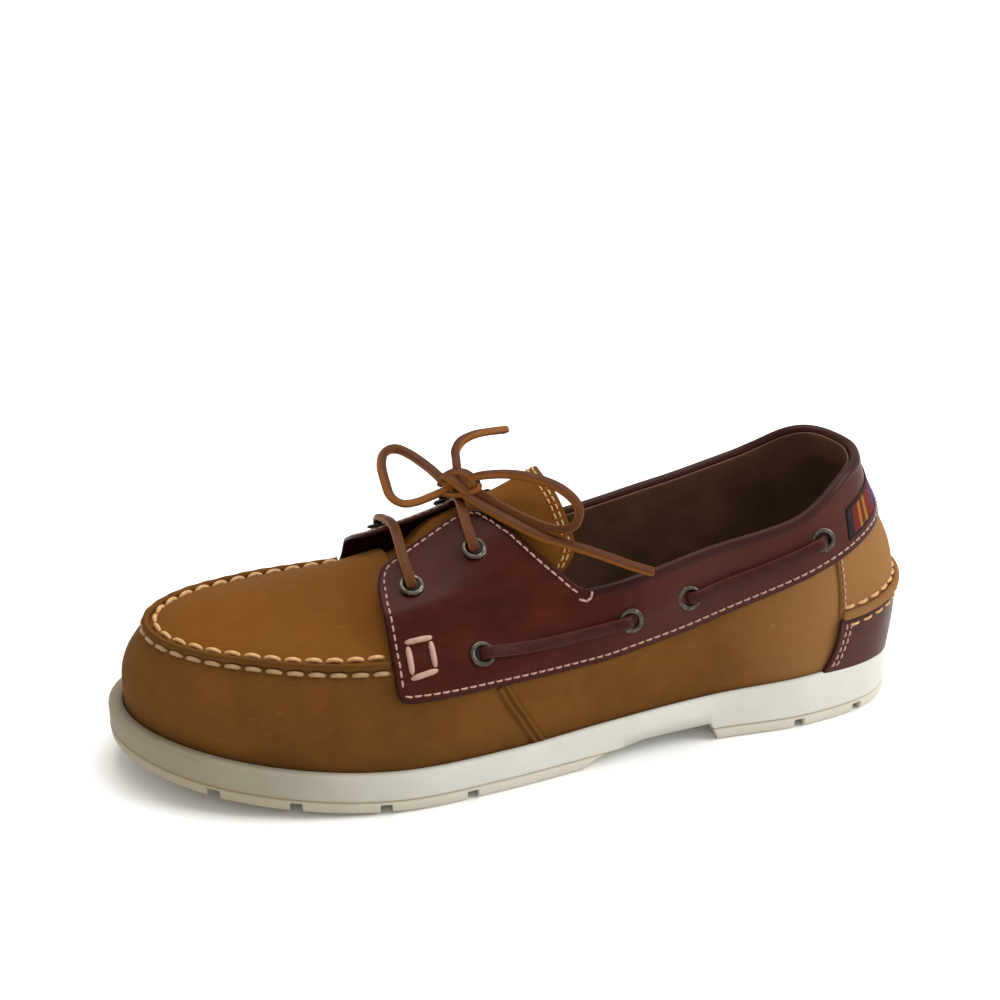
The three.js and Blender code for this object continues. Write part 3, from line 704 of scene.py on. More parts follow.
def spot(tree, place, centre, radius):
    """1 at a place in millimetres, fading to 0 at the radius."""
    gap = node(tree, "ShaderNodeVectorMath", {"operation": "DISTANCE"}, {
        0: place, 1: tuple(value * MM for value in centre)}).outputs["Value"]
    return spread_of(tree, gap, radius * MM, radius * MM * 0.35)


def new_material(name, **sockets):
    """A material with its principled shader's uniform values, its tree and its Object coordinates."""
    made = bpy.data.materials.new(name)
    made.use_nodes = True
    tree = made.node_tree
    shader = tree.nodes["Principled BSDF"]
    for key, value in sockets.items():
        shader.inputs[key.replace("_", " ")].default_value = value
    place = node(tree, "ShaderNodeTexCoord").outputs["Object"]
    return made, tree, shader, place


def bumped(tree, shader, *layers):
    """Bumps from (height, strength, depth in millimetres) layers, one on another."""
    normal = None
    for height, strength, depth in layers:
        inputs = {"Height": height, "Strength": strength, "Distance": depth * MM}
        if normal is not None:
            inputs["Normal"] = normal
        normal = node(tree, "ShaderNodeBump", None, inputs).outputs["Normal"]
    tree.links.new(normal, shader.inputs["Normal"])


def held(values):
    return tuple(values) + (1.0,)


def nubuck(name, base, shade):
    """Nubuck, cowhide buffed to a short nap: a dull mottled tan, painted lighter towards the heel as if lit
    from behind, darker at its edges, where grooves and joints also get painted shade.
    """
    made, tree, shader, place = new_material(name, Roughness=0.88, Sheen_Weight=0.06, Sheen_Roughness=0.5,
                                             Specular_IOR_Level=0.08)
    cloud = spread_of(tree, noise(tree, place, 34, 3), 0.1, 0.85)
    mottle = spread_of(tree, noise(tree, place, 9, 4), 0.2, 0.8)
    nap = noise(tree, place, 0.7, 2)
    tan = mixed(tree, cloud, shade, base)
    tan = stained(tree, tan, mottle, 0.2, "#7d5222")
    tan = stained(tree, tan, nap, 0.16, "#3f270f")
    axes = node(tree, "ShaderNodeSeparateXYZ", None, {0: place})
    # Painted light: the tan grows paler towards the heel, standing in for light falling from behind.
    pale = spread_of(tree, axes.outputs["X"], -55 * MM, -128 * MM)
    tan = stained(tree, tan, pale, 0.55, "#946c44")
    height = axes.outputs["Z"]
    grime = spread_of(tree, height, 27 * MM, 15 * MM)
    grime = math_node(tree, "MULTIPLY", grime, spread_of(tree, noise(tree, place, 9, 4), 0.25, 0.65))
    tan = stained(tree, tan, grime, 0.5, "#35210e")
    scuff = spot(tree, place, (-88, 38.5, 45), 1.5)
    drawn_out = node(tree, "ShaderNodeMapping", None, {
        "Vector": place, "Rotation": (0.3, 0.5, 0.4), "Scale": (0.12, 1, 1)}).outputs[0]
    scratch = spread_of(tree, noise(tree, drawn_out, 1.6, 2), 0.66, 0.74)
    scuff = math_node(tree, "MAXIMUM", scuff, math_node(tree, "MULTIPLY", scratch, 0.12))
    tan = stained(tree, tan, scuff, 0.55, "#a98255")
    # The edge attribute darkens worn edges; the quarter strips and the heel joints give it low values in
    # grooves and gaps, and there the darkening is painted shade.
    worn = node(tree, "ShaderNodeAttribute", {"attribute_name": "edge"}).outputs["Fac"]
    edge = spread_of(tree, worn, 1.3, 0.2)
    tan = stained(tree, tan, edge, 0.45, "#3c230b")
    tree.links.new(tan, shader.inputs["Base Color"])
    shader.inputs["Sheen Tint"].default_value = linear("#d9a866")
    bumped(tree, shader, (nap, 0.35, 0.12), (noise(tree, place, 2.6, 4), 0.3, 0.25),
           (noise(tree, place, 16, 3), 0.35, 0.7))
    return made


def pull_up(name, base, shade, band):
    """Pull-up leather, waxed full grain: a soft gloss, redder in front, purpler and greyer behind, partly
    its own tone and partly a painted reflection of the window.
    """
    made, tree, shader, place = new_material(name, Coat_Weight=0.04, Coat_Roughness=0.2,
                                             Specular_IOR_Level=0.08)
    axes = node(tree, "ShaderNodeSeparateXYZ", None, {0: place})
    cloud = spread_of(tree, noise(tree, place, 22, 4), 0.1, 0.8)
    # Painted reflection: towards the heel the colour turns to the band's purplish grey, partly the leather's
    # own tone and partly the window's reflection laid into the colour.
    back = spread_of(tree, axes.outputs["X"], -8 * MM, -62 * MM)
    grain = node(tree, "ShaderNodeTexVoronoi", {"feature": "F1"}, {
        "Vector": place, "Scale": 1 / (0.85 * MM), "Randomness": 1.0}).outputs["Distance"]
    red = mixed(tree, cloud, shade, base)
    band_tone_and_reflection = mixed(tree, cloud, mixed(tree, 0.4, band, shade), band)
    brown = mixed(tree, back, red, band_tone_and_reflection)
    streak = spread_of(tree, noise(tree, node(tree, "ShaderNodeMapping", None, {
        "Vector": place, "Scale": (0.35, 1, 1)}).outputs[0], 7, 4), 0.42, 0.75)
    brown = stained(tree, brown, streak, 0.15, "#58221a")
    worn = node(tree, "ShaderNodeAttribute", {"attribute_name": "edge"}).outputs["Fac"]
    edge = spread_of(tree, worn, 0.9, 0.0)
    brown = stained(tree, brown, edge, 0.5, "#180605")
    tree.links.new(brown, shader.inputs["Base Color"])
    dull = spread_of(tree, noise(tree, place, 11, 4), 0.25, 0.75)
    rough = node(tree, "ShaderNodeMapRange", None, {
        "Value": dull, "To Min": 0.32, "To Max": 0.5}).outputs["Result"]
    tree.links.new(rough, shader.inputs["Roughness"])
    bumped(tree, shader, (grain, 0.1, 0.1), (noise(tree, place, 1.6, 4), 0.2, 0.14),
           (noise(tree, place, 13, 3), 0.2, 0.45))
    return made


def cup_rubber(base, shaded_yellow):
    """Non-marking gum rubber, moulded: matt off-white, yellowed at the toe and darkened there as painted
    shade, and darker by the ground.
    """
    made, tree, shader, place = new_material("moulded_rubber", Roughness=0.62, Specular_IOR_Level=0.35,
                                             Subsurface_Weight=0.04, Subsurface_Scale=0.004)
    axes = node(tree, "ShaderNodeSeparateXYZ", None, {0: place})
    toe = spread_of(tree, axes.outputs["X"], 15 * MM, 140 * MM)
    cloud = spread_of(tree, noise(tree, place, 26, 4), 0.25, 0.75)
    # Painted shade: the yellowing towards the toe is laid on strongly enough to also stand for the shade on
    # the toe side.
    yellow_and_shade = math_node(tree, "ADD", toe, math_node(tree, "MULTIPLY", cloud, 0.16), clamp=True)
    rubber = mixed(tree, math_node(tree, "MULTIPLY", yellow_and_shade, 0.8), base, shaded_yellow)
    low = node(tree, "ShaderNodeAttribute", {"attribute_name": "tread"}).outputs["Fac"]
    rubber = stained(tree, rubber, low, 0.3, "#b8ab8e")
    line = node(tree, "ShaderNodeAttribute", {"attribute_name": "groove"}).outputs["Fac"]
    rubber = stained(tree, rubber, line, 0.6, "#8a6b3e")
    dirt = spread_of(tree, noise(tree, place, 5, 5, 0.7), 0.6, 0.78)
    rubber = stained(tree, rubber, dirt, 0.22, "#8c8372")
    scratch = spread_of(tree, noise(tree, node(tree, "ShaderNodeMapping", None, {
        "Vector": place, "Scale": (0.1, 0.1, 1)}).outputs[0], 0.9, 3), 0.64, 0.76)
    rubber = stained(tree, rubber, scratch, 0.2, "#8f887a")
    for centre, radius in (((147.5, -2, 17), 1.6), ((133, 26, 17), 0.9), ((-143, 12, 9), 1.2)):
        rubber = stained(tree, rubber, spot(tree, place, centre, radius), 0.7, "#5b5040")
    tree.links.new(rubber, shader.inputs["Base Color"])
    bumped(tree, shader, (noise(tree, place, 0.5, 2), 0.12, 0.08), (noise(tree, place, 4, 4), 0.18, 0.2))
    return made


def rawhide(name, base, cut_edge, gloss=0.5):
    """Rawhide lacing, cut square from oiled hide: darker grain faces and paler cut sides with fibres."""
    made, tree, shader, place = new_material(name, Roughness=gloss, Specular_IOR_Level=0.12)
    cut = node(tree, "ShaderNodeAttribute", {"attribute_name": "cut"}).outputs["Fac"]
    cloud = spread_of(tree, noise(tree, place, 5, 4), 0.25, 0.75)
    hide = stained(tree, base, cloud, 0.3, "#3f2210")
    fibre = noise(tree, place, 0.6, 3)
    side = mixed(tree, math_node(tree, "MULTIPLY", fibre, 0.5), cut_edge, base)
    hide = mixed(tree, cut, hide, side)
    tree.links.new(hide, shader.inputs["Base Color"])
    bumped(tree, shader, (fibre, 0.3, 0.12), (noise(tree, place, 3, 3), 0.25, 0.2))
    return made


def waxed_thread(name, base):
    """Waxed polyester thread, twisted: pale and slightly shiny, grimy in patches and darker in bands between
    its strands.
    """
    made, tree, shader, place = new_material(name, Roughness=0.55, Sheen_Weight=0.1)
    ply = node(tree, "ShaderNodeAttribute", {"attribute_name": "ply"}).outputs["Fac"]
    strand = math_node(tree, "SINE", math_node(tree, "MULTIPLY", ply, 2 * math.pi * 3))
    strand = math_node(tree, "MULTIPLY_ADD", strand, 0.5)
    strand.node.inputs[2].default_value = 0.5
    grime = spread_of(tree, noise(tree, place, 7, 4), 0.45, 0.8)
    thread = stained(tree, base, grime, 0.35, "#9b7248")
    thread = stained(tree, thread, strand, 0.22, "#8a6840")
    tree.links.new(thread, shader.inputs["Base Color"])
    bumped(tree, shader, (strand, 0.35, 0.16), (noise(tree, place, 0.5, 2), 0.2, 0.06))
    return made


def leather_lining(base):
    """Vegetable-tanned lining leather: a dull brown, darker and a little shinier in patches."""
    made, tree, shader, place = new_material("lining_leather", Specular_IOR_Level=0.3)
    cloud = spread_of(tree, noise(tree, place, 20, 3), 0.1, 0.9)
    hide = mixed(tree, cloud, linear("#3c2415"), base)
    hide = stained(tree, hide, noise(tree, place, 2.4, 4), 0.3, "#5a432f")
    tree.links.new(hide, shader.inputs["Base Color"])
    rough = node(tree, "ShaderNodeMapRange", None, {"Value": cloud, "To Min": 0.5, "To Max": 0.75})
    tree.links.new(rough.outputs["Result"], shader.inputs["Roughness"])
    bumped(tree, shader, (noise(tree, place, 1.1, 3), 0.25, 0.12), (noise(tree, place, 10, 3), 0.3, 0.5))
    return made


def insole_cover(base):
    """Charcoal suede cover over foam: nearly black with a pressed fleck."""
    made, tree, shader, place = new_material("insole_suede", Roughness=0.92, Sheen_Weight=0.15)
    fleck = noise(tree, place, 0.9, 3)
    cover = stained(tree, base, fleck, 0.5, "#12110f")
    tree.links.new(cover, shader.inputs["Base Color"])
    bumped(tree, shader, (fleck, 0.4, 0.2), (noise(tree, place, 18, 3), 0.3, 0.8))
    return made


def aged_nickel(base):
    """Nickel-plated brass, rolled: grey metal, dulled by handling, darker and rougher in patches."""
    made, tree, shader, place = new_material("aged_nickel", Metallic=1.0)
    wear = spread_of(tree, noise(tree, place, 1.6, 4), 0.35, 0.7)
    metal = mixed(tree, wear, linear("#423d36"), base)
    tree.links.new(metal, shader.inputs["Base Color"])
    rough = node(tree, "ShaderNodeMapRange", None, {"Value": wear, "To Min": 0.5, "To Max": 0.28})
    tree.links.new(rough.outputs["Result"], shader.inputs["Roughness"])
    bumped(tree, shader, (noise(tree, place, 0.8, 3), 0.15, 0.05))
    return made


def striped_ribbon():
    """Woven ribbon: dark selvedges round red, blue and rose blocks and two gold bars, with a weave."""
    made, tree, shader, place = new_material("woven_ribbon", Roughness=0.8, Specular_IOR_Level=0.1)
    run = node(tree, "ShaderNodeAttribute", {"attribute_name": "run"}).outputs["Fac"]
    across = node(tree, "ShaderNodeAttribute", {"attribute_name": "across"}).outputs["Fac"]
    share = math_node(tree, "FRACT", math_node(tree, "DIVIDE", run, 34.0))
    red, gold = linear("#641a11"), linear("#8a641f")
    dark, blue, rose = linear("#1b1a22"), linear("#24305e"), linear("#9c2435")
    blocks = ramp(tree, share, [(0.0, dark), (0.09, red), (0.2, gold), (0.25, red), (0.32, gold),
                                (0.37, red), (0.6, blue), (0.8, rose)])
    blocks.node.color_ramp.interpolation = "CONSTANT"
    off_middle = math_node(tree, "ABSOLUTE", math_node(tree, "SUBTRACT", across, 0.5))
    selvedge = spread_of(tree, off_middle, 0.41, 0.43)
    cloth = mixed(tree, selvedge, blocks, linear("#100f16"))
    weft = math_node(tree, "SINE", math_node(tree, "MULTIPLY", run, 2 * math.pi / 0.55))
    warp = math_node(tree, "SINE", math_node(tree, "MULTIPLY", across, 2 * math.pi * 20))
    weave = math_node(tree, "MULTIPLY", weft, warp)
    cloth = stained(tree, cloth, spread_of(tree, weave, -1, 1), 0.2, "#0c0b10")
    cloth = stained(tree, cloth, noise(tree, place, 3, 3), 0.2, "#4a3b35")
    tree.links.new(cloth, shader.inputs["Base Color"])
    bumped(tree, shader, (weave, 0.4, 0.12))
    return made


MATERIALS = {}


def make_materials():
    shades = colours()
    MATERIALS.update(
        nubuck=nubuck("tan_nubuck", held(shades.nubuck), held(shades.nubuck_dark)),
        plug=nubuck("toe_nubuck", held(shades.plug), held(shades.nubuck)),
        saddle=pull_up("pull_up_leather", held(shades.saddle), held(shades.saddle_dark), held(shades.band)),
        rubber=cup_rubber(held(shades.rubber), held(shades.rubber_toe_yellow_shade)),
        lace=rawhide("rawhide_lace", held(shades.lace), held(shades.lace_cut)),
        # Near-black suede for the discs that paint the shade inside the eyelets.
        hole=insole_cover(linear("#070605")),
        dark_lace=rawhide("dark_rawhide", linear("#2f0d08"), linear("#481c14"), 0.42),
        thread=waxed_thread("waxed_thread", held(shades.thread)),
        # Painted shade: a darker copy of the seam thread for the lower row, which lies in shade under the
        # seam's ridge.
        dull_thread=waxed_thread("dull_thread", linear("#94744c")),
        fine_thread=waxed_thread("fine_thread", held(shades.fine_thread)),
        lining=leather_lining(held(shades.lining)),
        insole=insole_cover(held(shades.insole)),
        eyelet=aged_nickel(held(shades.eyelet)),
        ribbon=striped_ribbon(),
    )


# ---- geometry nodes: what repeats ----


def new_tree(name, lengths):
    """A geometry node tree with the points in, a material and named lengths in metres as inputs."""
    tree = bpy.data.node_groups.new(name, "GeometryNodeTree")
    tree.interface.new_socket("Geometry", in_out="INPUT", socket_type="NodeSocketGeometry")
    tree.interface.new_socket("Geometry", in_out="OUTPUT", socket_type="NodeSocketGeometry")
    for key in lengths:
        socket = tree.interface.new_socket(key, in_out="INPUT", socket_type="NodeSocketFloat")
        socket.subtype = "DISTANCE"
    tree.interface.new_socket("Material", in_out="INPUT", socket_type="NodeSocketMaterial")
    return tree, node(tree, "NodeGroupInput")


def place_on_points(tree, given, shape):
    """Stands the shape on every point, its X along the row and its Z out of the leather, as plain mesh."""
    ahead = node(tree, "GeometryNodeInputNamedAttribute", {"data_type": "FLOAT_VECTOR"}, {"Name": "ahead"})
    out = node(tree, "GeometryNodeInputNamedAttribute", {"data_type": "FLOAT_VECTOR"}, {"Name": "out"})
    turned = node(tree, "FunctionNodeAlignRotationToVector", {"axis": "X"}, {
        "Vector": ahead.outputs["Attribute"]})
    turned = node(tree, "FunctionNodeAlignRotationToVector", {"axis": "Z", "pivot_axis": "X"}, {
        "Rotation": turned.outputs[0], "Vector": out.outputs["Attribute"]})
    stood = node(tree, "GeometryNodeInstanceOnPoints", None, {
        "Points": given.outputs["Geometry"], "Instance": shape, "Rotation": turned.outputs[0]})
    plain = node(tree, "GeometryNodeRealizeInstances", None, {"Geometry": stood.outputs[0]})
    rounded = node(tree, "GeometryNodeSetShadeSmooth", None, {"Geometry": plain.outputs[0]})
    painted = node(tree, "GeometryNodeSetMaterial", None, {
        "Geometry": rounded.outputs[0], "Material": given.outputs["Material"]})
    node(tree, "NodeGroupOutput", None, {"Geometry": painted.outputs[0]})


def vector_of(tree, x=0.0, y=0.0, z=0.0):
    return node(tree, "ShaderNodeCombineXYZ", None, {"X": x, "Y": y, "Z": z}).outputs[0]


def stitch_tree():
    """One stitch: a plump thread that rises out of the leather and dives back into it."""
    tree, given = new_tree("Stitches", ("Length", "Thickness", "Rise"))
    half = math_node(tree, "MULTIPLY", given.outputs["Length"], 0.5)
    back = math_node(tree, "MULTIPLY", half, -1.0)
    dip = math_node(tree, "MULTIPLY", given.outputs["Thickness"], -0.45)
    line = node(tree, "GeometryNodeCurveQuadraticBezier", None, {
        "Resolution": 8, "Start": vector_of(tree, back, 0.0, dip),
        "Middle": vector_of(tree, 0.0, 0.0, given.outputs["Rise"]), "End": vector_of(tree, half, 0.0, dip)})
    share = node(tree, "GeometryNodeSplineParameter").outputs["Factor"]
    named = node(tree, "GeometryNodeStoreNamedAttribute", {"data_type": "FLOAT", "domain": "POINT"}, {
        "Geometry": line.outputs[0], "Name": "ply", "Value": share})
    off_middle = math_node(tree, "ABSOLUTE", math_node(tree, "MULTIPLY_ADD", share, 2.0))
    off_middle.node.inputs[0].links[0].from_node.inputs[2].default_value = -1.0
    plump = math_node(tree, "SUBTRACT", 1.0, math_node(tree, "POWER", off_middle, 8.0))
    plump = math_node(tree, "MAXIMUM", plump, 0.3)
    section = node(tree, "GeometryNodeCurvePrimitiveCircle", None, {
        "Resolution": 8, "Radius": math_node(tree, "MULTIPLY", given.outputs["Thickness"], 0.5)})
    swept = node(tree, "GeometryNodeCurveToMesh", None, {
        "Curve": named.outputs[0], "Profile Curve": section.outputs["Curve"], "Scale": plump,
        "Fill Caps": True})
    place_on_points(tree, given, swept.outputs[0])
    return tree


def eyelet_tree():
    """One eyelet: a rolled flange on the leather and a barrel through it."""
    tree, given = new_tree("Eyelets", ("Outer", "Bore"))
    outer, bore = given.outputs["Outer"], given.outputs["Bore"]

    def ring(radius, thick, tall, drop):
        path = node(tree, "GeometryNodeCurvePrimitiveCircle", None, {"Resolution": 44, "Radius": radius})
        section = node(tree, "GeometryNodeCurvePrimitiveCircle", None, {"Resolution": 14, "Radius": thick})
        swept = node(tree, "GeometryNodeCurveToMesh", None, {
            "Curve": path.outputs["Curve"], "Profile Curve": section.outputs["Curve"]})
        return node(tree, "GeometryNodeTransform", None, {
            "Geometry": swept.outputs[0], "Scale": (1.0, 1.0, tall), "Translation": (0.0, 0.0, drop)})

    middle = math_node(tree, "MULTIPLY", math_node(tree, "ADD", outer, bore), 0.5)
    width = math_node(tree, "MULTIPLY", math_node(tree, "SUBTRACT", outer, bore), 0.5)
    flange = ring(middle, width, 0.6, 0.5 * MM)
    wall = 0.3 * MM
    barrel = ring(math_node(tree, "ADD", bore, wall), wall, 4.0, -0.6 * MM)
    both = node(tree, "GeometryNodeJoinGeometry")
    for part in (flange, barrel):
        tree.links.new(part.outputs[0], both.inputs[0])
    place_on_points(tree, given, both.outputs[0])
    return tree


def grown(name, tree, points, aheads, outs, material, lengths):
    """Runs a tree on points in millimetres and returns its result as a plain mesh object."""
    cloud = bpy.data.meshes.new(name + "_points")
    cloud.from_pydata((np.asarray(points) * MM).tolist(), [], [])
    for key, values in (("ahead", aheads), ("out", outs)):
        layer = cloud.attributes.new(key, "FLOAT_VECTOR", "POINT")
        layer.data.foreach_set("vector", np.asarray(values, np.float32).ravel())
    holder = bpy.data.objects.new(name + "_holder", cloud)
    bpy.context.scene.collection.objects.link(holder)
    modifier = holder.modifiers.new(name, "NODES")
    modifier.node_group = tree
    given = {"Material": material}
    given.update({key: value * MM for key, value in lengths.items()})
    for item in tree.interface.items_tree:
        if item.in_out == "INPUT" and item.name in given:
            modifier[item.identifier] = given[item.name]
    evaluated = holder.evaluated_get(bpy.context.evaluated_depsgraph_get())
    data = bpy.data.meshes.new_from_object(evaluated)
    data.name = name
    holder.modifiers.remove(modifier)
    bpy.data.objects.remove(holder)
    piece = bpy.data.objects.new(name, data)
    bpy.context.scene.collection.objects.link(piece)
    return piece


class Row:
    """Places for stitches along lines: middles, directions along and directions out of the leather"""

    def __init__(self):
        self.points, self.aheads, self.outs = [], [], []

    def add(self, line, outs, pitch, lift=0.0, start=0.5):
        """Stitches along a line; outs gives the direction out of the leather at each of its points."""
        run = run_of(line)
        count = max(1, int(round(run[-1] / pitch)))
        places = (np.arange(count) + start) * run[-1] / count
        places = places[places < run[-1]]
        half = run[-1] / count * 0.3
        point = along(line, places)
        ahead = unit(along(line, np.minimum(places + half, run[-1]))
                     - along(line, np.maximum(places - half, 0)))
        out = unit(read_at(places, run, outs))
        self.points.append(point + out * lift)
        self.aheads.append(ahead)
        self.outs.append(out)

    def make(self, name, material, length, thickness, rise):
        lengths = {"Length": length, "Thickness": thickness, "Rise": rise}
        return grown(name, stitch_tree(), np.vstack(self.points), np.vstack(self.aheads),
                     np.vstack(self.outs), material, lengths)


# ---- the camera and the laces ----

# The bow, each route a list of points in millimetres from the knot outwards
KNOT = (20.5, -2.5, 98.2)
LOOP_FRONT = [
    (22.4, -4.2, 98.6), (25.2, -6.2, 98.6), (28.2, -15, 100), (33, -24.2, 102), (37.4, -28.2, 103),
    (42.1, -25.4, 103), (44.6, -19.6, 101), (45.2, -11.4, 98), (44.8, -4.4, 95), (41.4, -0.6, 93.4),
    (36.4, -0.4, 93.4), (30.6, -1.2, 94.6), (26.6, -1.4, 95.8), (23.2, -1.6, 96.8),
]
LOOP_REAR = [
    (18.8, -0.4, 100.2), (16.6, 1.6, 101.2), (12.4, 4.2, 103), (4.5, 8.4, 104.2), (-3.1, 14.2, 104.2),
    (-10.4, 19.8, 102.2), (-14.6, 25.6, 99.2), (-15.2, 30, 96.2), (-12.4, 32.2, 92.2), (-6.7, 29.4, 90.6),
    (0.6, 23.2, 91.9), (8.6, 14.2, 94.4), (13.8, 6.4, 96.4), (17.2, 2.0, 97.4),
]
END_SHORT = [
    (20.4, -2.8, 100.6), (20.2, -4.2, 103.2), (19.4, -8.4, 104.6), (18.5, -12.5, 106.4),
    (15.2, -16.6, 108.2), (9.2, -20.5, 108.6), (2.1, -24.1, 107.6), (-5.1, -27.9, 106),
]
END_LONG = [
    (19.8, 2.4, 96.6), (18.6, 5.4, 95.6), (14.9, 11.4, 94.2), (7.7, 20, 91.6), (-0.9, 27.8, 88.2),
    (-11, 32.3, 85.2), (-21, 35.8, 81.8), (-31.2, 38.4, 77.6), (-39.9, 40.2, 74.4),
]


class SHOE_OT_stage(bpy.types.Operator):
    """Adds the camera, the pale floor and soft studio lights"""
    bl_idname = "shoe.stage"
    bl_label = "Stage"

    def execute(self, context):
        scene = context.scene
        data = bpy.data.cameras.new("camera")
        data.lens, data.sensor_width = 77.3, 36
        camera = bpy.data.objects.new("camera", data)
        camera.location = (0.199, 0.683, 0.408)
        camera.rotation_euler = Vector((-0.249, -0.878, -0.408)).to_track_quat("-Z", "Y").to_euler()
        scene.collection.objects.link(camera)
        scene.camera = camera
        world = bpy.data.worlds.new("studio")
        world.use_nodes = True
        world.node_tree.nodes["Background"].inputs["Color"].default_value = linear("#f7f4ef")
        world.node_tree.nodes["Background"].inputs["Strength"].default_value = 0.75
        scene.world = world
        scene.view_settings.view_transform = "Standard"
        lights = [
            ("overhead", (-0.1, -0.25, 1.1), 0.9, 10.0), ("window", (-0.95, 0.45, 0.7), 0.6, 10.0),
            ("fill", (0.3, 1.1, 0.55), 0.9, 1.5),
        ]
        for name, place, width, power in lights:
            lamp = bpy.data.lights.new(name, "AREA")
            lamp.size, lamp.energy = width, power
            holder = bpy.data.objects.new(name, lamp)
            holder.location = place
            aim = Vector((0, 0, 0.04)) - Vector(place)
            holder.rotation_euler = aim.to_track_quat("-Z", "Y").to_euler()
            scene.collection.objects.link(holder)
        self.floor()
        return {"FINISHED"}

    def floor(self):
        """A pale matt floor, a little brighter far away, where the lamps don't reach."""
        half = 20.0
        data = bpy.data.meshes.new("floor")
        corners = [(-half, -half, 0), (half, -half, 0), (half, half, 0), (-half, half, 0)]
        data.from_pydata(corners, [], [(0, 1, 2, 3)])
        made, tree, shader, place = new_material("painted_floor", Roughness=0.9, Specular_IOR_Level=0.2,
                                                 Emission_Color=linear("#ffffff"))
        away = node(tree, "ShaderNodeVectorMath", {"operation": "LENGTH"}, {0: place}).outputs["Value"]
        glow = math_node(tree, "MULTIPLY", spread_of(tree, away, 0.45, 1.6), 0.4)
        tree.links.new(glow, shader.inputs["Emission Strength"])
        grain = noise(tree, place, 60, 3)
        shade = mixed(tree, math_node(tree, "MULTIPLY", grain, 0.1), linear("#fbfbfa"), linear("#f1f0ee"))
        tree.links.new(shade, shader.inputs["Base Color"])
        data.materials.append(made)
        piece = bpy.data.objects.new("floor", data)
        bpy.context.scene.collection.objects.link(piece)


class SHOE_OT_bow(bpy.types.Operator):
    """Ties the bow: two loops, two ends and the knot, in square rawhide"""
    bl_idname = "shoe.bow"
    bl_label = "Bow"

    def execute(self, context):
        self.width = sizes().lace
        section = squared(20, self.width, self.width * 0.9)
        routes = [
            ("bow_loop_front", LOOP_FRONT, 1.1, "object"), ("bow_loop_rear", LOOP_REAR, -1.0, "object"),
            ("bow_end_short", END_SHORT, 0.9, "bare"), ("bow_end_long", END_LONG, -0.5, "bare"),
        ]
        knot = self.knot()
        for name, route, twist, far_end in routes:
            line = spaced(catmull(route, 16), 0.8)
            piece = strap(name, line, section, MATERIALS["lace"], twist=twist)
            settle(piece, "tan_lace", name)
        settle(knot, "tan_lace", "bow_knot")
        return {"FINISHED"}

    def knot(self):
        """A lump: two wraps round a core, with one strand over it, one under it and one across."""
        middle = np.array(KNOT)
        section = squared(18, self.width * 1.2, self.width * 0.75)
        around = np.linspace(0, 2 * math.pi, 49)
        core = catmull([(25.6, -4.0, 97.2), (23.0, -3.4, 97.9), (20.0, -1.8, 98.3), (17.2, 0.0, 98.7),
                        (15.2, 1.6, 99.0)], 10)
        parts = [strap("core", core, squared(20, self.width * 1.9, self.width * 1.7), MATERIALS["lace"],
                       twist=0.5)]
        for lean, offset, reach in ((0.4, (-1.5, 0.3, 0.2), 3.8), (-0.45, (2.2, -0.8, -0.3), 3.6)):
            ring = np.stack([0.7 * np.sin(around) * reach * lean, reach * np.cos(around),
                             reach * 0.92 * np.sin(around)], 1) + middle + offset
            parts.append(strap("wrap", ring, section, MATERIALS["lace"], up=(1, 0, 0), cut_high=False))
        strands = {
            "over": [(26.2, -5.4, 96.8), (25.0, -4.6, 100.2), (22.0, -2.6, 102.3), (18.4, -0.2, 102.6),
                     (15.4, 2.4, 100.4), (14.8, 3.4, 97.8)],
            "under": [(26.6, -2.6, 95.2), (22.8, 1.0, 95.6), (19.2, 3.2, 96.4), (15.4, 4.4, 97.8),
                      (14.4, 3.4, 99.6)],
            "cross": [(25.0, -3.4, 101.4), (23.4, 0.6, 101.0), (20.8, 3.0, 98.9), (18.2, 4.4, 96.6),
                      (17.0, 3.6, 94.8)],
        }
        for name, route in strands.items():
            parts.append(strap(name, catmull(route, 12), section, MATERIALS["lace"]))
        return joined("bow_knot", parts)


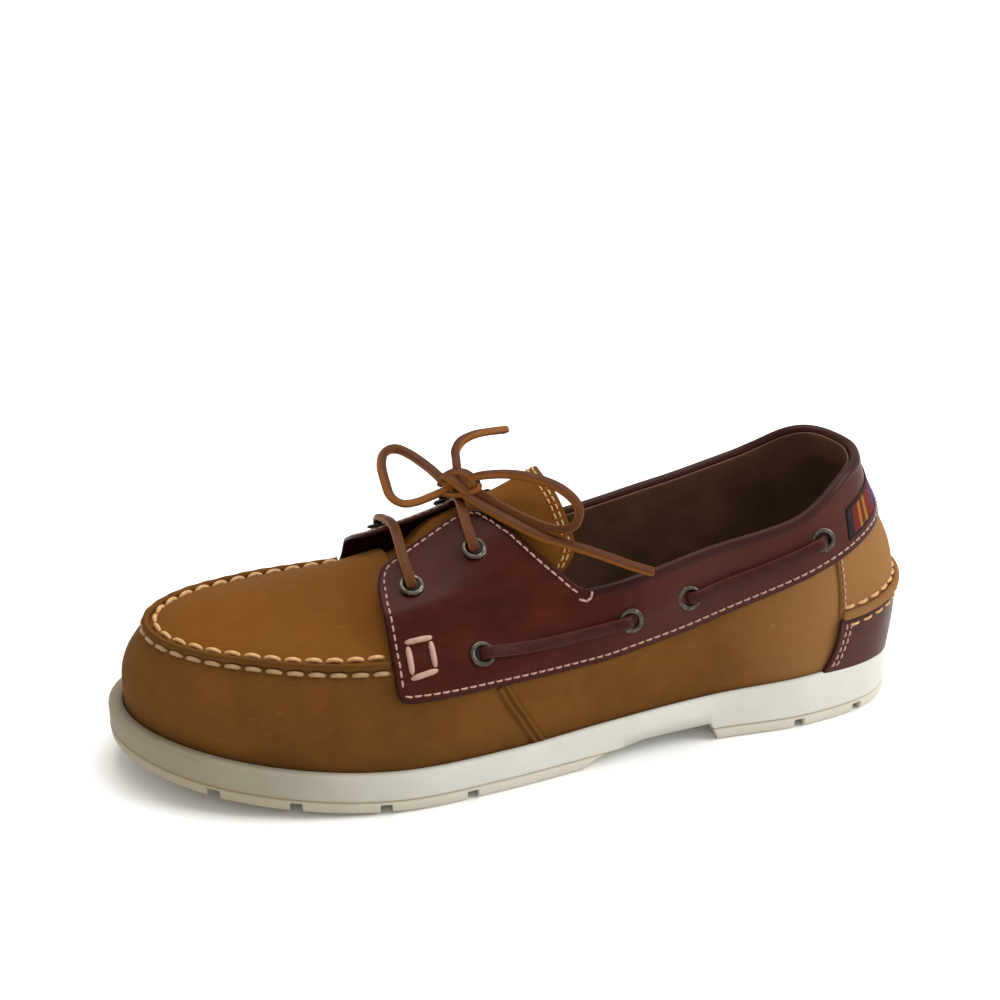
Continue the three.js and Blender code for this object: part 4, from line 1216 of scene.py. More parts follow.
class SHOE_OT_laces(bpy.types.Operator):
    """Runs the lace along both sides and across the throat, through the eyelets"""
    bl_idname = "shoe.laces"
    bl_label = "Laces"

    def execute(self, context):
        for label, side in SIDES.items():
            for start, end, name in SIDE_RUNS:
                self.side_run(label, side, EYELETS[start], EYELETS[end], name)
        for name, crest in (("front", 84.6), ("rear", 93.0)):
            self.bar(name, EYELETS[f"throat_{name}"], crest)
        return {"FINISHED"}

    def over_saddle(self, x, z, side, out):
        point, normal = on_leather(x, z, side, over_leather(), flap_lift)
        return point + normal * np.asarray(out)[:, None], normal

    def side_run(self, label, side, start, end, name):
        """A flat dark lace on the band, from inside one eyelet to inside the next."""
        thick = 2.1
        share = np.array([0, 0, 0.035, 0.09, 0.2, 0.35, 0.5, 0.65, 0.8, 0.91, 0.965, 1, 1])
        out = np.array([-1.0, 0.8, 2.3, 2.3, 1.7, 1.4, 1.3, 1.4, 1.7, 2.3, 2.3, 0.8, -1.0])
        x, z = (start[k] + (end[k] - start[k]) * share for k in (0, 1))
        sag = np.sin(math.pi * share) * 0.9
        points, normals = self.over_saddle(x, z - sag, side, out)
        rough = catmull(points, 10)
        line = spaced(rough, 0.7)
        ups = catmull(normals, 10)
        run = run_of(rough)
        places = np.linspace(0, run[-1], len(line))
        ups = read_at(places, run, ups)
        section = squared(20, sizes().side_lace, thick)
        full_name = f"lace_{label}_{name}"
        piece = strap(full_name, line, section, MATERIALS["dark_lace"], ups=ups, up=(0, side, 0))
        settle(piece, "dark_lace", full_name)

    def bar(self, name, eyelet, crest):
        """The lace across the throat from one eyelet over both flaps to its partner."""
        x, z = eyelet
        lace = sizes().lace
        halves = []
        for side in (1, -1):
            rise, _ = self.over_saddle([x, x], [z, z], side, [-1.0, 2.2])
            heights = z + (float(LAST["crown"](x)) + 6 - z) * np.array([0.35, 0.75])
            over, _ = self.over_saddle([x, x], heights, side, [lace / 2 + 1.6] * 2)
            halves.append(np.vstack([rise, over]))
        middle = np.array([[x, float(LAST["ridge"](x)), crest]])
        line = spaced(catmull(np.vstack([halves[0], middle, halves[1][::-1]]), 12), 0.7)
        piece = strap(f"lace_bar_{name}", line, squared(20, lace * 1.1, lace * 0.72), MATERIALS["lace"],
                      up=(0, 1, 0.3))
        settle(piece, "tan_lace", f"lace_bar_{name}")


# ---- the sole ----

WAIST_CUT = [(-69, -1), (-65, 7.8), (-38, 7.2), (-20, 4.4), (-15, 1.5), (-12, -1)]
NOTCHES = (-127, -101, 30, 62, 93, 120)
NOTCH_WIDTH, NOTCH_DEPTH = 4.2, 3.6
SIPE_PITCH, SIPE_WAVE, SIPE_WAVE_LENGTH = 5.2, 1.1, 11.0
SEAM_START, UPPER_FRONT_TOP = 56.6, 49.0


def cut_height(x):
    """The sole's underside beside the ground: the waist's arch and the notches across the tread."""
    rows = np.array(WAIST_CUT, float)
    waist = np.interp(x, rows[:, 0], rows[:, 1], left=-1, right=-1)
    height = np.maximum(ground(x), waist)
    for notch in NOTCHES:
        inside = np.abs(x - notch) < NOTCH_WIDTH / 2
        height = np.where(inside, np.maximum(height, ground(x) + NOTCH_DEPTH), height)
    return height


class SHOE_OT_sole(bpy.types.Operator):
    """Moulds the rubber cup sole with its tread line, notches, arch and wavy siping"""
    bl_idname = "shoe.sole"
    bl_label = "Sole"

    def execute(self, context):
        outer, inner = self.edges()
        x = (outer[:, 0] + inner[:, 0]) / 2
        sides = [self.wall(edge) for edge in (outer, inner)]
        across = 64
        share = np.linspace(0, 1, across + 2)[1:-1][None, :, None]
        start, end = sides[0][:, -1:, :], sides[1][:, -1:, :]
        bottom = start + (end - start) * share
        bottom[:, :, 2] = cut_height(x)[:, None] + self.siping(bottom)
        first, last = sides[0][:, :1, :], sides[1][:, :1, :]
        floor = last + (first - last) * np.linspace(0, 1, 14)[1:-1][None, :, None]
        section = np.concatenate([sides[0], bottom, sides[1][:, ::-1], floor], axis=1)
        rows, columns = section.shape[:2]
        faces = []
        for i in range(rows - 1):
            a, b = i * columns, (i + 1) * columns
            faces += [(a + j, b + j, b + (j + 1) % columns, a + (j + 1) % columns) for j in range(columns)]
        low = section[:, :, 2] - ground(section[:, :, 0])
        tread = smooth(low, sizes().tread + 0.4, sizes().tread - 0.4)
        groove = np.exp(-((low - sizes().tread - 0.3) / 0.35) ** 2)
        groove *= np.isin(np.arange(columns), np.r_[0:self.levels, columns - 12 - self.levels:columns - 12])
        piece = mesh_piece("outsole_rubber", section, faces, MATERIALS["rubber"], tread=tread, groove=groove)
        closed(piece)
        settle(piece, "rubber", "outsole")
        return {"FINISHED"}

    def edges(self):
        """Pairs of edge points, outer and inner, from the toe's tip to the heel's, close at the notches."""
        half = len(SOLE_EDGE) // 2
        lines = [SOLE_EDGE[:half + 1], np.vstack([SOLE_EDGE[half:], SOLE_EDGE[:1]])[::-1]]
        front, rear = 141.0, -142.0
        xs = list(np.arange(rear, front, 0.75))
        for notch in NOTCHES:
            for side in (-1, 1):
                edge = notch + side * NOTCH_WIDTH / 2
                xs += [edge - 0.06, edge + 0.06]
        xs = np.unique(np.round(np.array(xs + [front]), 3))[::-1]
        made = []
        for line in lines:
            run = run_of(line)
            order = np.argsort(line[:, 0])
            places = np.interp(xs, line[order, 0], run[order])
            tip = np.linspace(0, places[0], 26)[:-1]
            back = np.linspace(places[-1], run[-1], 26)[1:]
            made.append(along(line, np.concatenate([tip, places, back])))
        return made

    def wall(self, edge):
        """One side's section at every edge point, from inside the cup over the lip and down to the tread."""
        x = edge[:, 0]
        ahead = np.gradient(edge, axis=0)
        inward = unit(np.stack([-ahead[:, 1], ahead[:, 0]], 1))
        middle = np.stack([np.clip(x, SPINE_HEEL, SPINE_TOE), np.full_like(x, -3.0)], 1)
        inward *= np.sign((inward * (middle - edge)).sum(1))[:, None]
        lip, foot, inset = LAST["lip"](x), ground(x), LAST["inset"](x)
        tread = sizes().tread
        low = cut_height(x)
        gap = sizes().gap
        levels = [
            (inset + 1.0, LAST["floor"](x) - gap), (inset - gap, LAST["floor"](x) - gap + 0.6),
            (inset - gap - 0.1, lip - 2.0), (inset - gap - 0.5, lip - 0.5), (inset - gap - 1.0, lip - 0.05),
            (1.5, lip), (0.9, lip - 0.12), (0.45, lip - 0.45), (0.15, lip - 1.0), (0.0, lip - 1.8),
            (0.12, (lip + foot + tread) / 2 + 1), (0.1, foot + tread + 1.2), (0.14, foot + tread + 0.7),
            (0.75, foot + tread + 0.3), (0.2, foot + tread - 0.1), (0.05, foot + tread - 0.6),
            (0.4, foot + 1.2), (0.8, foot + 0.55), (1.5, foot + 0.15), (2.6, foot),
        ]
        self.levels = len(levels)
        points = []
        for inset_here, z in levels:
            place = edge + inward * (inset_here * np.ones_like(x))[:, None]
            points.append(np.concatenate([place, np.maximum(z, low)[:, None]], axis=1))
        return np.stack(points, axis=1)

    def siping(self, points):
        """Thin wavy cuts across the tread under the forefoot and the heel."""
        x, y = points[:, :, 0], points[:, :, 1]
        wave = x + SIPE_WAVE * np.sin(2 * math.pi * y / SIPE_WAVE_LENGTH)
        phase = np.abs((wave / SIPE_PITCH) % 1 - 0.5) * 2
        cut = smooth(phase, 0.7, 0.92)
        forefoot = smooth(x, -5, -3) * (1 - smooth(x, 128, 132))
        heel = (1 - smooth(x, -76, -73)) * smooth(x, -140, -136)
        away_from_notch = np.ones_like(x)
        for notch in NOTCHES:
            away_from_notch = np.minimum(away_from_notch, smooth(np.abs(x - notch), 2.2, 3.2))
        return cut * (forefoot + heel) * away_from_notch * sizes().siping


WELD = 0.004  # points closer than this, in millimetres, are one


def closed(piece):
    """Welds points that fall together and turns all faces outwards."""
    work = bmesh.new()
    work.from_mesh(piece.data)
    bmesh.ops.remove_doubles(work, verts=work.verts, dist=WELD * MM)
    bmesh.ops.dissolve_degenerate(work, edges=work.edges, dist=WELD * MM)
    bmesh.ops.recalc_face_normals(work, faces=work.faces)
    work.to_mesh(piece.data)
    work.free()
    piece.data.update()
    return piece


def thickened(piece, thickness):
    """Gives a welded sheet its thickness, on its inner side."""
    closed(piece)
    modifier = piece.modifiers.new("thickness", "SOLIDIFY")
    modifier.thickness = thickness * MM
    modifier.offset = -1.0
    modifier.use_even_offset = False
    evaluated = piece.evaluated_get(bpy.context.evaluated_depsgraph_get())
    data = bpy.data.meshes.new_from_object(evaluated)
    piece.modifiers.remove(modifier)
    piece.data = data
    data.name = piece.name
    return piece


# ---- the upper ----

# Creases pressed into the leather by walking: points, width and depth in millimetres
VAMP_CREASES = [
    ([(64, 36, 57), (66, 22, 62), (66, 6, 66), (64, -10, 67)], 5.0, 0.7),
    ([(74, 37, 54), (77, 24, 59), (78, 10, 62), (76, -4, 63.5)], 6.0, 0.5),
    ([(60, -44, 56), (63, -30, 62), (65, -16, 66)], 5.0, 0.6),
]
WALL_CREASES = [
    ([(62, 51, 46), (64, 53, 36), (60, 54, 26)], 5.0, 0.6),
    ([(44, 50, 42), (40, 52, 33), (42, 52, 24)], 4.0, 0.5),
    ([(80, 48, 46), (84, 50, 38)], 6.0, 0.5), ([(-60, 39, 46), (-64, 40, 36), (-72, 40, 28)], 7.0, 0.6),
    ([(-14, 46, 42), (-20, 46, 34), (-34, 45, 28)], 6.0, 0.5), ([(60, -48, 46), (62, -51, 34)], 5.0, 0.6),
    ([(24.6, 48, 46), (24.2, 49, 42), (24.5, 49.5, 38)], 1.8, 0.7),
    ([(126, 28, 46), (128, 29, 38), (124, 33, 30)], 7.0, 0.35), ([(-96, 38, 60), (-98, 38.5, 48)], 5.0, 0.4),
]
SADDLE_CREASES = [
    ([(14, 42, 70), (2, 42, 68), (-10, 41, 65)], 5.0, 0.7),
    ([(30, 44, 62), (18, 46, 58), (4, 45, 56)], 5.0, 0.4),
    ([(-43, 40, 72), (-41, 42, 62), (-43, 42, 54)], 4.0, 0.9), ([(-44, -38, 72), (-42, -40, 62)], 4.0, 0.8),
    ([(-66, 38, 74), (-72, 38.5, 66), (-70, 39, 56)], 4.5, 0.5),
    ([(-90, 36, 80), (-92, 37.5, 70)], 4.0, 0.4),
    ([(24, 22, 84), (34, 26, 76), (44, 30, 70)], 5.0, 0.45),
]


VAMP_EDGE = [(-18, 66.5), (-4, 62.5), (8, 58.5), (42, 58), (50, 60)]
COLLAR_FRONT = -18  # x where the collar ends and the flap begins


def upper_feet():
    xs = np.arange(SPINE_HEEL, SPINE_TOE + 0.1, 1.5)
    return Feet(FEATHER, xs, detail().heel_ribs, detail().toe_ribs - 1)


class SHOE_OT_upper(bpy.types.Operator):
    """Cuts the nubuck sides and the plug and raises the puckered moccasin seam between them"""
    bl_idname = "shoe.upper"
    bl_label = "Upper"

    def execute(self, context):
        self.feet = upper_feet()
        self.form = Form(self.feet)
        self.sides()
        self.plug()
        self.seam()
        return {"FINISHED"}

    def sides(self):
        """The wall all round, from inside the rubber cup to the seam, the saddle or the collar."""
        form = self.form
        collar, vamp = through(COLLAR), through(VAMP_EDGE)
        x = form.places()[0]
        top_line = np.where(x < COLLAR_FRONT, collar(x) - 3.0, vamp(x))
        high = form.first(lambda px, py, pz: pz - top_line)
        foot_x = self.feet.points[:, 0]
        front = foot_x > UPPER_FRONT_TOP
        high = np.where(front, LOW + WALL - 0.6, np.minimum(high, np.where(foot_x > 40, LOW + WALL, 1e9)))
        low = form.first(below(lambda px: LAST["lip"](px) - 5.0))
        points, normals = form.between(low, high, detail().across)
        points = points - normals * soft_dent(points, WALL_CREASES)[..., None]
        points = points - normals * self.pucker(points)[..., None]
        piece = plate("upper_sides", points, normals, sizes().leather, MATERIALS["nubuck"], ring=True)
        settle(piece, "tan_nubuck", "upper")

    def pucker(self, points):
        """Small gathers below the seam's lower stitches."""
        drop = 52.6 - points[..., 2]
        near = np.exp(-((drop - 1.2) / 2.2) ** 2) * smooth(points[..., 0], 56, 64)
        angle = np.arctan2(points[..., 1] + 6, points[..., 0] - 60)
        return near * 0.28 * (0.5 + 0.5 * np.cos(angle * 58))

    def front_ribs(self, start):
        """Indices of the ribs in front of x, from the inner side round the toe to the outer side."""
        feet = self.feet
        every = np.arange(len(feet.points))
        inner, outer = every[feet.inner], every[feet.outer]
        toe = every[feet.inner.stop:]
        inner = inner[feet.points[inner, 0] >= start]
        outer = outer[feet.points[outer, 0] >= start]
        return inner, toe, outer

    def plug(self):
        """The apron over the toes, one sheet from seam to seam, sunk a little inside the seam."""
        inner, toe, outer = self.front_ribs(46.0)
        rows = 34
        high = np.full(len(self.feet.points), self.form.count - 1.0)
        low = np.full(len(self.feet.points), LOW + WALL - 0.2)
        points, normals = self.form.between(low, high, rows)
        half = len(toe) // 2
        lines, outs = [], []
        for left, right in zip(np.concatenate([inner, toe[:half]]),
                               np.concatenate([outer[::-1], toe[:half:-1]])):
            lines.append(np.vstack([points[left], points[right][-2::-1]]))
            outs.append(np.vstack([normals[left], normals[right][-2::-1]]))
        middle = toe[half]
        lines.append(np.vstack([points[middle], points[middle][-2::-1]]))
        outs.append(np.vstack([normals[middle], normals[middle][-2::-1]]))
        grid, out = np.stack(lines), np.stack(outs)
        rim = np.minimum(np.arange(grid.shape[1]), np.arange(grid.shape[1])[::-1])[None] * 1.6
        swell = 0.5 * smooth(rim, 2, 12) - 0.5
        grid = grid + out * (swell - soft_dent(grid, VAMP_CREASES))[..., None]
        edge = np.repeat(rim, grid.shape[0], axis=0)
        piece = mesh_piece("plug", grid, flipped(grid_faces(*grid.shape[:2])), MATERIALS["plug"], edge=edge)
        thickened(piece, sizes().leather - 0.4)
        settle(piece, "tan_nubuck")

    def seam_line(self, s):
        """Points and normals at one place up the ribs, from the inner side round the toe to the outer."""
        inner, toe, outer = self.front_ribs(SEAM_START)
        ribs = np.concatenate([inner, toe, outer])
        points, normals = self.form.at(np.full((len(ribs), 1), s), ribs)
        return points[:, 0], normals[:, 0]

    def seam(self):
        """The raised ridge where both leathers stand together, gathered between the stitches."""
        line, out = self.seam_line(LOW + WALL - 0.4)
        run = run_of(line)
        places = np.linspace(0, run[-1], 900)
        line = along(line, places)
        out = read_at(places, run, out)
        ahead = unit(np.gradient(line, axis=0))
        inward = np.cross(out, ahead)
        pitch = sizes().seam_pitch
        gather = 0.5 + 0.5 * np.cos(2 * math.pi * places / pitch)
        angle = np.linspace(0, 2 * math.pi, 19)[:-1]
        wide, tall = 1.25 + 0.2 * gather, 1.3 + 0.18 * gather
        ring = (line[:, None] + out[:, None] * 0.35
                + inward[:, None] * (np.cos(angle)[None] * wide[:, None])[..., None]
                + out[:, None] * (np.sin(angle)[None] * tall[:, None])[..., None])
        count, around = ring.shape[:2]
        faces = tube_faces(count, around)
        faces += [tuple(range(around))[::-1], tuple(range((count - 1) * around, count * around))]
        crest = np.tile(np.abs(np.sin(angle / 2 - math.pi / 4)) * 3, count)
        piece = mesh_piece("moccasin_seam", ring, faces, MATERIALS["nubuck"], edge=crest)
        closed(piece)
        settle(piece, "tan_nubuck")
        self.seam_stitches()

    def seam_stitches(self):
        """Two rows of thick thread, one on the plug and one on the side, slightly out of step; the side
        row's thread is darkened as painted shade under the ridge.
        """
        pitch, thick = sizes().seam_pitch, sizes().seam_thread
        for name, s, lift, start, material in (
                ("seam_stitches_high", LOW + WALL + 4.2, -0.3, 0.5, "thread"),
                ("seam_stitches_low", LOW + WALL - 2.7, 0.0, 0.62, "dull_thread")):
            line, out = self.seam_line(s)
            row = Row()
            row.add(line, out, pitch, lift, start)
            settle(row.make(name, MATERIALS[material], pitch * 0.84, thick, thick), "thread")


class SHOE_OT_lining(bpy.types.Operator):
    """Lines the inside with brown leather and lays the insole"""
    bl_idname = "shoe.lining"
    bl_label = "Lining and insole"

    def execute(self, context):
        feet = Feet(FEATHER, np.arange(SPINE_HEEL, SPINE_TOE + 0.1, 2.0), 50, 61)
        form = Form(feet, -sizes().leather - 0.15)
        collar, vamp = through(COLLAR), through(VAMP_EDGE)
        x = form.places()[0]
        top_line = np.where(x < COLLAR_FRONT, collar(x) - 1.6, vamp(x) - 0.6)
        high = form.first(lambda px, py, pz: pz - top_line)
        high = np.where(feet.points[:, 0] > UPPER_FRONT_TOP, LOW + WALL + 6.0, high)
        points, normals = form.between(np.full(len(high), 1.0), high, 36)
        piece = plate("lining", points, normals, 0.7, MATERIALS["lining"], ring=True)
        settle(piece, "lining")
        self.insole(feet)
        return {"FINISHED"}

    def insole(self, feet):
        """A soft sheet over the floor of the cup, with a rounded edge, slightly dished."""
        form = Form(feet, -sizes().leather - 1.0)
        reach = form.r[:, 0] - 0.2
        thick = 3.5
        profile = [(0.0, 0.0), (1.0, 0.0), (1.0, thick - 0.9), (0.985, thick - 0.3), (0.96, thick),
                   (0.8, thick - 0.1), (0.6, thick - 0.3), (0.4, thick - 0.4),
                   (0.2, thick - 0.45), (0.0, thick - 0.45)]
        rings = []
        for share, high in profile:
            x = form.spine[:, 0] + form.out[:, 0] * reach * share
            y = form.spine[:, 1] + form.out[:, 1] * reach * share
            rings.append(np.stack([x, y, LAST["floor"](x) + high], 1))
        grid = np.stack(rings, 1)
        piece = mesh_piece("insole_sheet", grid, grid_faces(*grid.shape[:2], ring=True), MATERIALS["insole"])
        closed(piece)
        settle(piece, "insole", "insole")


# ---- saddle, counter, collar ----


class SHOE_OT_saddle(bpy.types.Operator):
    """Cuts the dark saddle with its two flaps and the band round the heel, and sews its edges"""
    bl_idname = "shoe.saddle"
    bl_label = "Saddle"

    def execute(self, context):
        dense_from = 46
        xs = np.concatenate([
            np.arange(SPINE_HEEL, dense_from, 1.2), np.arange(dense_from, SADDLE_FRONT, 0.35),
            [SADDLE_FRONT, 60, 76, SPINE_TOE],
        ])
        feet = Feet(FEATHER, xs, 60, 5)
        form = Form(feet, over_leather(), flap_lift)
        side, throat, lower = through(COLLAR), through(THROAT), through(SADDLE_LOWER)
        rear = through(FLAP_REAR)
        x = form.places()[0]
        top_line = np.where(x < COLLAR_FRONT, side(x) - 1.4, rear(x))
        by_side = form.first(lambda px, py, pz: np.where(px > 13.5, -1.0, pz - top_line))
        by_side = np.where(feet.points[:, 0] > 13.5, 1e9, by_side)
        by_throat = form.first(lambda px, py, pz: throat(px) - np.abs(py - THROAT_MIDDLE))
        by_throat = np.where(feet.points[:, 0] < 8, 1e9, by_throat)
        high = self.eased(np.minimum(by_side, by_throat), feet.points[:, 0])
        low = form.first(below(lower))
        every = np.arange(len(feet.points))
        ribs = every[feet.points[:, 0] <= SADDLE_FRONT + 0.01]
        rows = detail().across
        points, normals = form.between(low, high, rows, ribs)
        points = points - normals * soft_dent(points, SADDLE_CREASES)[..., None]
        points = points + normals * self.bulge(points)[..., None]
        piece = plate("saddle_leather", points, normals, sizes().overlay, MATERIALS["saddle"])
        settle(piece, "brown_leather", "saddle")
        self.sew(points, normals)
        return {"FINISHED"}

    def eased(self, high, x):
        """The flap's tip rounded off, where its rear edge meets the throat."""
        spread = np.convolve(high, np.ones(5) / 5, mode="same")
        return np.where((x > 3) & (x < 20), spread, high)

    def bulge(self, points):
        """The band swells where the lace runs under it, between and behind the side eyelets."""
        swell = np.zeros(points.shape[:2])
        for side in SIDES.values():
            start, end = EYELETS["band_waist"], EYELETS["band_quarter"]
            share = np.clip((points[..., 0] - start[0]) / (end[0] - start[0]), 0, 1)
            height = start[1] + (end[1] - start[1]) * share
            near = np.exp(-((points[..., 2] - height - 1) / 4.2) ** 2) * np.sin(math.pi * share) ** 0.7
            swell += near * 1.3 * (points[..., 1] * side > 0)
        return swell

    def sew(self, points, normals):
        """Fine stitches along the lower edge, the front edge, the throat and the flap's rear edge."""
        row = Row()
        pitch, thick = sizes().fine_pitch, sizes().fine_thread
        low, out = self.inset(points, normals, 1.9, "low")
        row.add(low[2:-2], out[2:-2], pitch, 0.1)
        flap = points[:, -1, 0] > -17.0
        half = len(points) // 2
        for first in (True, False):
            part = slice(0, half) if first else slice(half, None)
            high, high_out = self.inset(points, normals, 1.6, "high")
            high, high_out, keep = high[part], high_out[part], flap[part]
            high, high_out = high[keep], high_out[keep]
            front, front_out = self.inset(points, normals, 1.6, "first" if first else "last")
            if first:
                high, high_out = high[::-1], high_out[::-1]
            line = np.vstack([high[2:-4], front[::-1][3:-1]])
            outs = np.vstack([high_out[2:-4], front_out[::-1][3:-1]])
            row.add(line, outs, pitch, 0.2)
        piece = row.make("saddle_stitches", MATERIALS["fine_thread"], pitch * 0.82, thick, thick * 0.8)
        settle(piece, "thread")
        self.corner_stitches()

    def inset(self, points, normals, distance, which):
        """A line that distance in from one border of the saddle."""
        pick = {"low": (points[:, 0], points[:, 4], normals[:, 0]),
                "high": (points[:, -1], points[:, -5], normals[:, -1]),
                "first": (points[0], points[5], normals[0]), "last": (points[-1], points[-6], normals[-1])}
        edge, inside, out = pick[which]
        inward = unit(np.cross(out, unit(np.gradient(edge, axis=0))))
        inward *= np.sign(np.median((inward * (inside - edge)).sum(1)))
        return edge + inward * distance, out

    def corner_stitches(self):
        """A hand-sewn square near the front corner and a bar tack at the flap's rear corner, both sides."""
        square = [(50.4, 59.8), (42.3, 60.8), (42.2, 52.0), (50.5, 50.2), (50.4, 59.8)]
        tack = [(-12.6, 66.6), (-15.4, 65.6), (-17.2, 66.4), (-17.9, 68.4)]
        sewn = (("square_stitches", square, 10.8, 2.1), ("bar_tacks", tack, 2.8, 0.9))
        for name, path, length, thick in sewn:
            row = Row()
            for side in SIDES.values():
                for start, end in zip(path, path[1:]):
                    share = np.linspace(0, 1, 7)
                    x, z = (start[k] + (end[k] - start[k]) * share for k in (0, 1))
                    line, out = on_leather(x, z, side, over_leather(), flap_lift)
                    row.add(line, out, 12.0, 0.05)
            piece = row.make(name, MATERIALS["fine_thread"], length, thick, thick * 0.7)
            settle(piece, "thread")


class SHOE_OT_collar(bpy.types.Operator):
    """Rolls the padded collar round the opening and lays the ribbon over the heel"""
    bl_idname = "shoe.collar"
    bl_label = "Collar and ribbon"

    def execute(self, context):
        feet = Feet(FEATHER, np.arange(SPINE_HEEL, -15.9, 1.2), 60, 9)
        form = Form(feet, 0.0)
        collar = through(COLLAR)
        ribs = feet.round_heel
        s = form.first(lambda px, py, pz: pz - collar(px) + sizes().rim * 0.42)
        points, normals = form.at(s[ribs][:, None], ribs)
        line, out = points[:, 0], normals[:, 0]
        line = line + out * 0.1
        run = run_of(line)
        places = np.linspace(0, run[-1], 320)
        line = along(line, places)
        out = read_at(places, run, out)
        section = squared(22, sizes().rim, sizes().rim * 0.9, 2.3)
        piece = strap("collar_roll", line, section, MATERIALS["saddle"], ups=out, up=(0, 1, 0))
        settle(piece, "brown_leather")
        self.ribbon()
        return {"FINISHED"}

    def ribbon(self):
        """A plain striped ribbon on the band round the heel."""
        feet = Feet(FEATHER, np.array([-118.5, 0, SPINE_TOE]), 90, 5)
        form = Form(feet, over_leather() + 0.55)
        lower, upper = through(SADDLE_LOWER), through(COLLAR)
        ribs = feet.heel_fan
        low = form.first(below(lambda px: lower(px) + 4.4))
        high = form.first(below(lambda px: np.minimum(lower(px) + 15.5, upper(px) - 5)))
        points, normals = form.between(low, high, 16, ribs)
        piece = plate("heel_ribbon", points, normals, 0.6, MATERIALS["ribbon"], roundness=3)
        rows, columns = points.shape[:2]
        run = np.repeat(run_of(points[:, 8]), columns)
        across = np.tile(np.linspace(0, 1, columns), rows)
        rim = np.zeros(len(piece.data.vertices) - 2 * rows * columns)
        write_values(piece.data, run=np.concatenate([run, run, rim]),
                     across=np.concatenate([across, across, rim]))
        settle(piece, "ribbon")


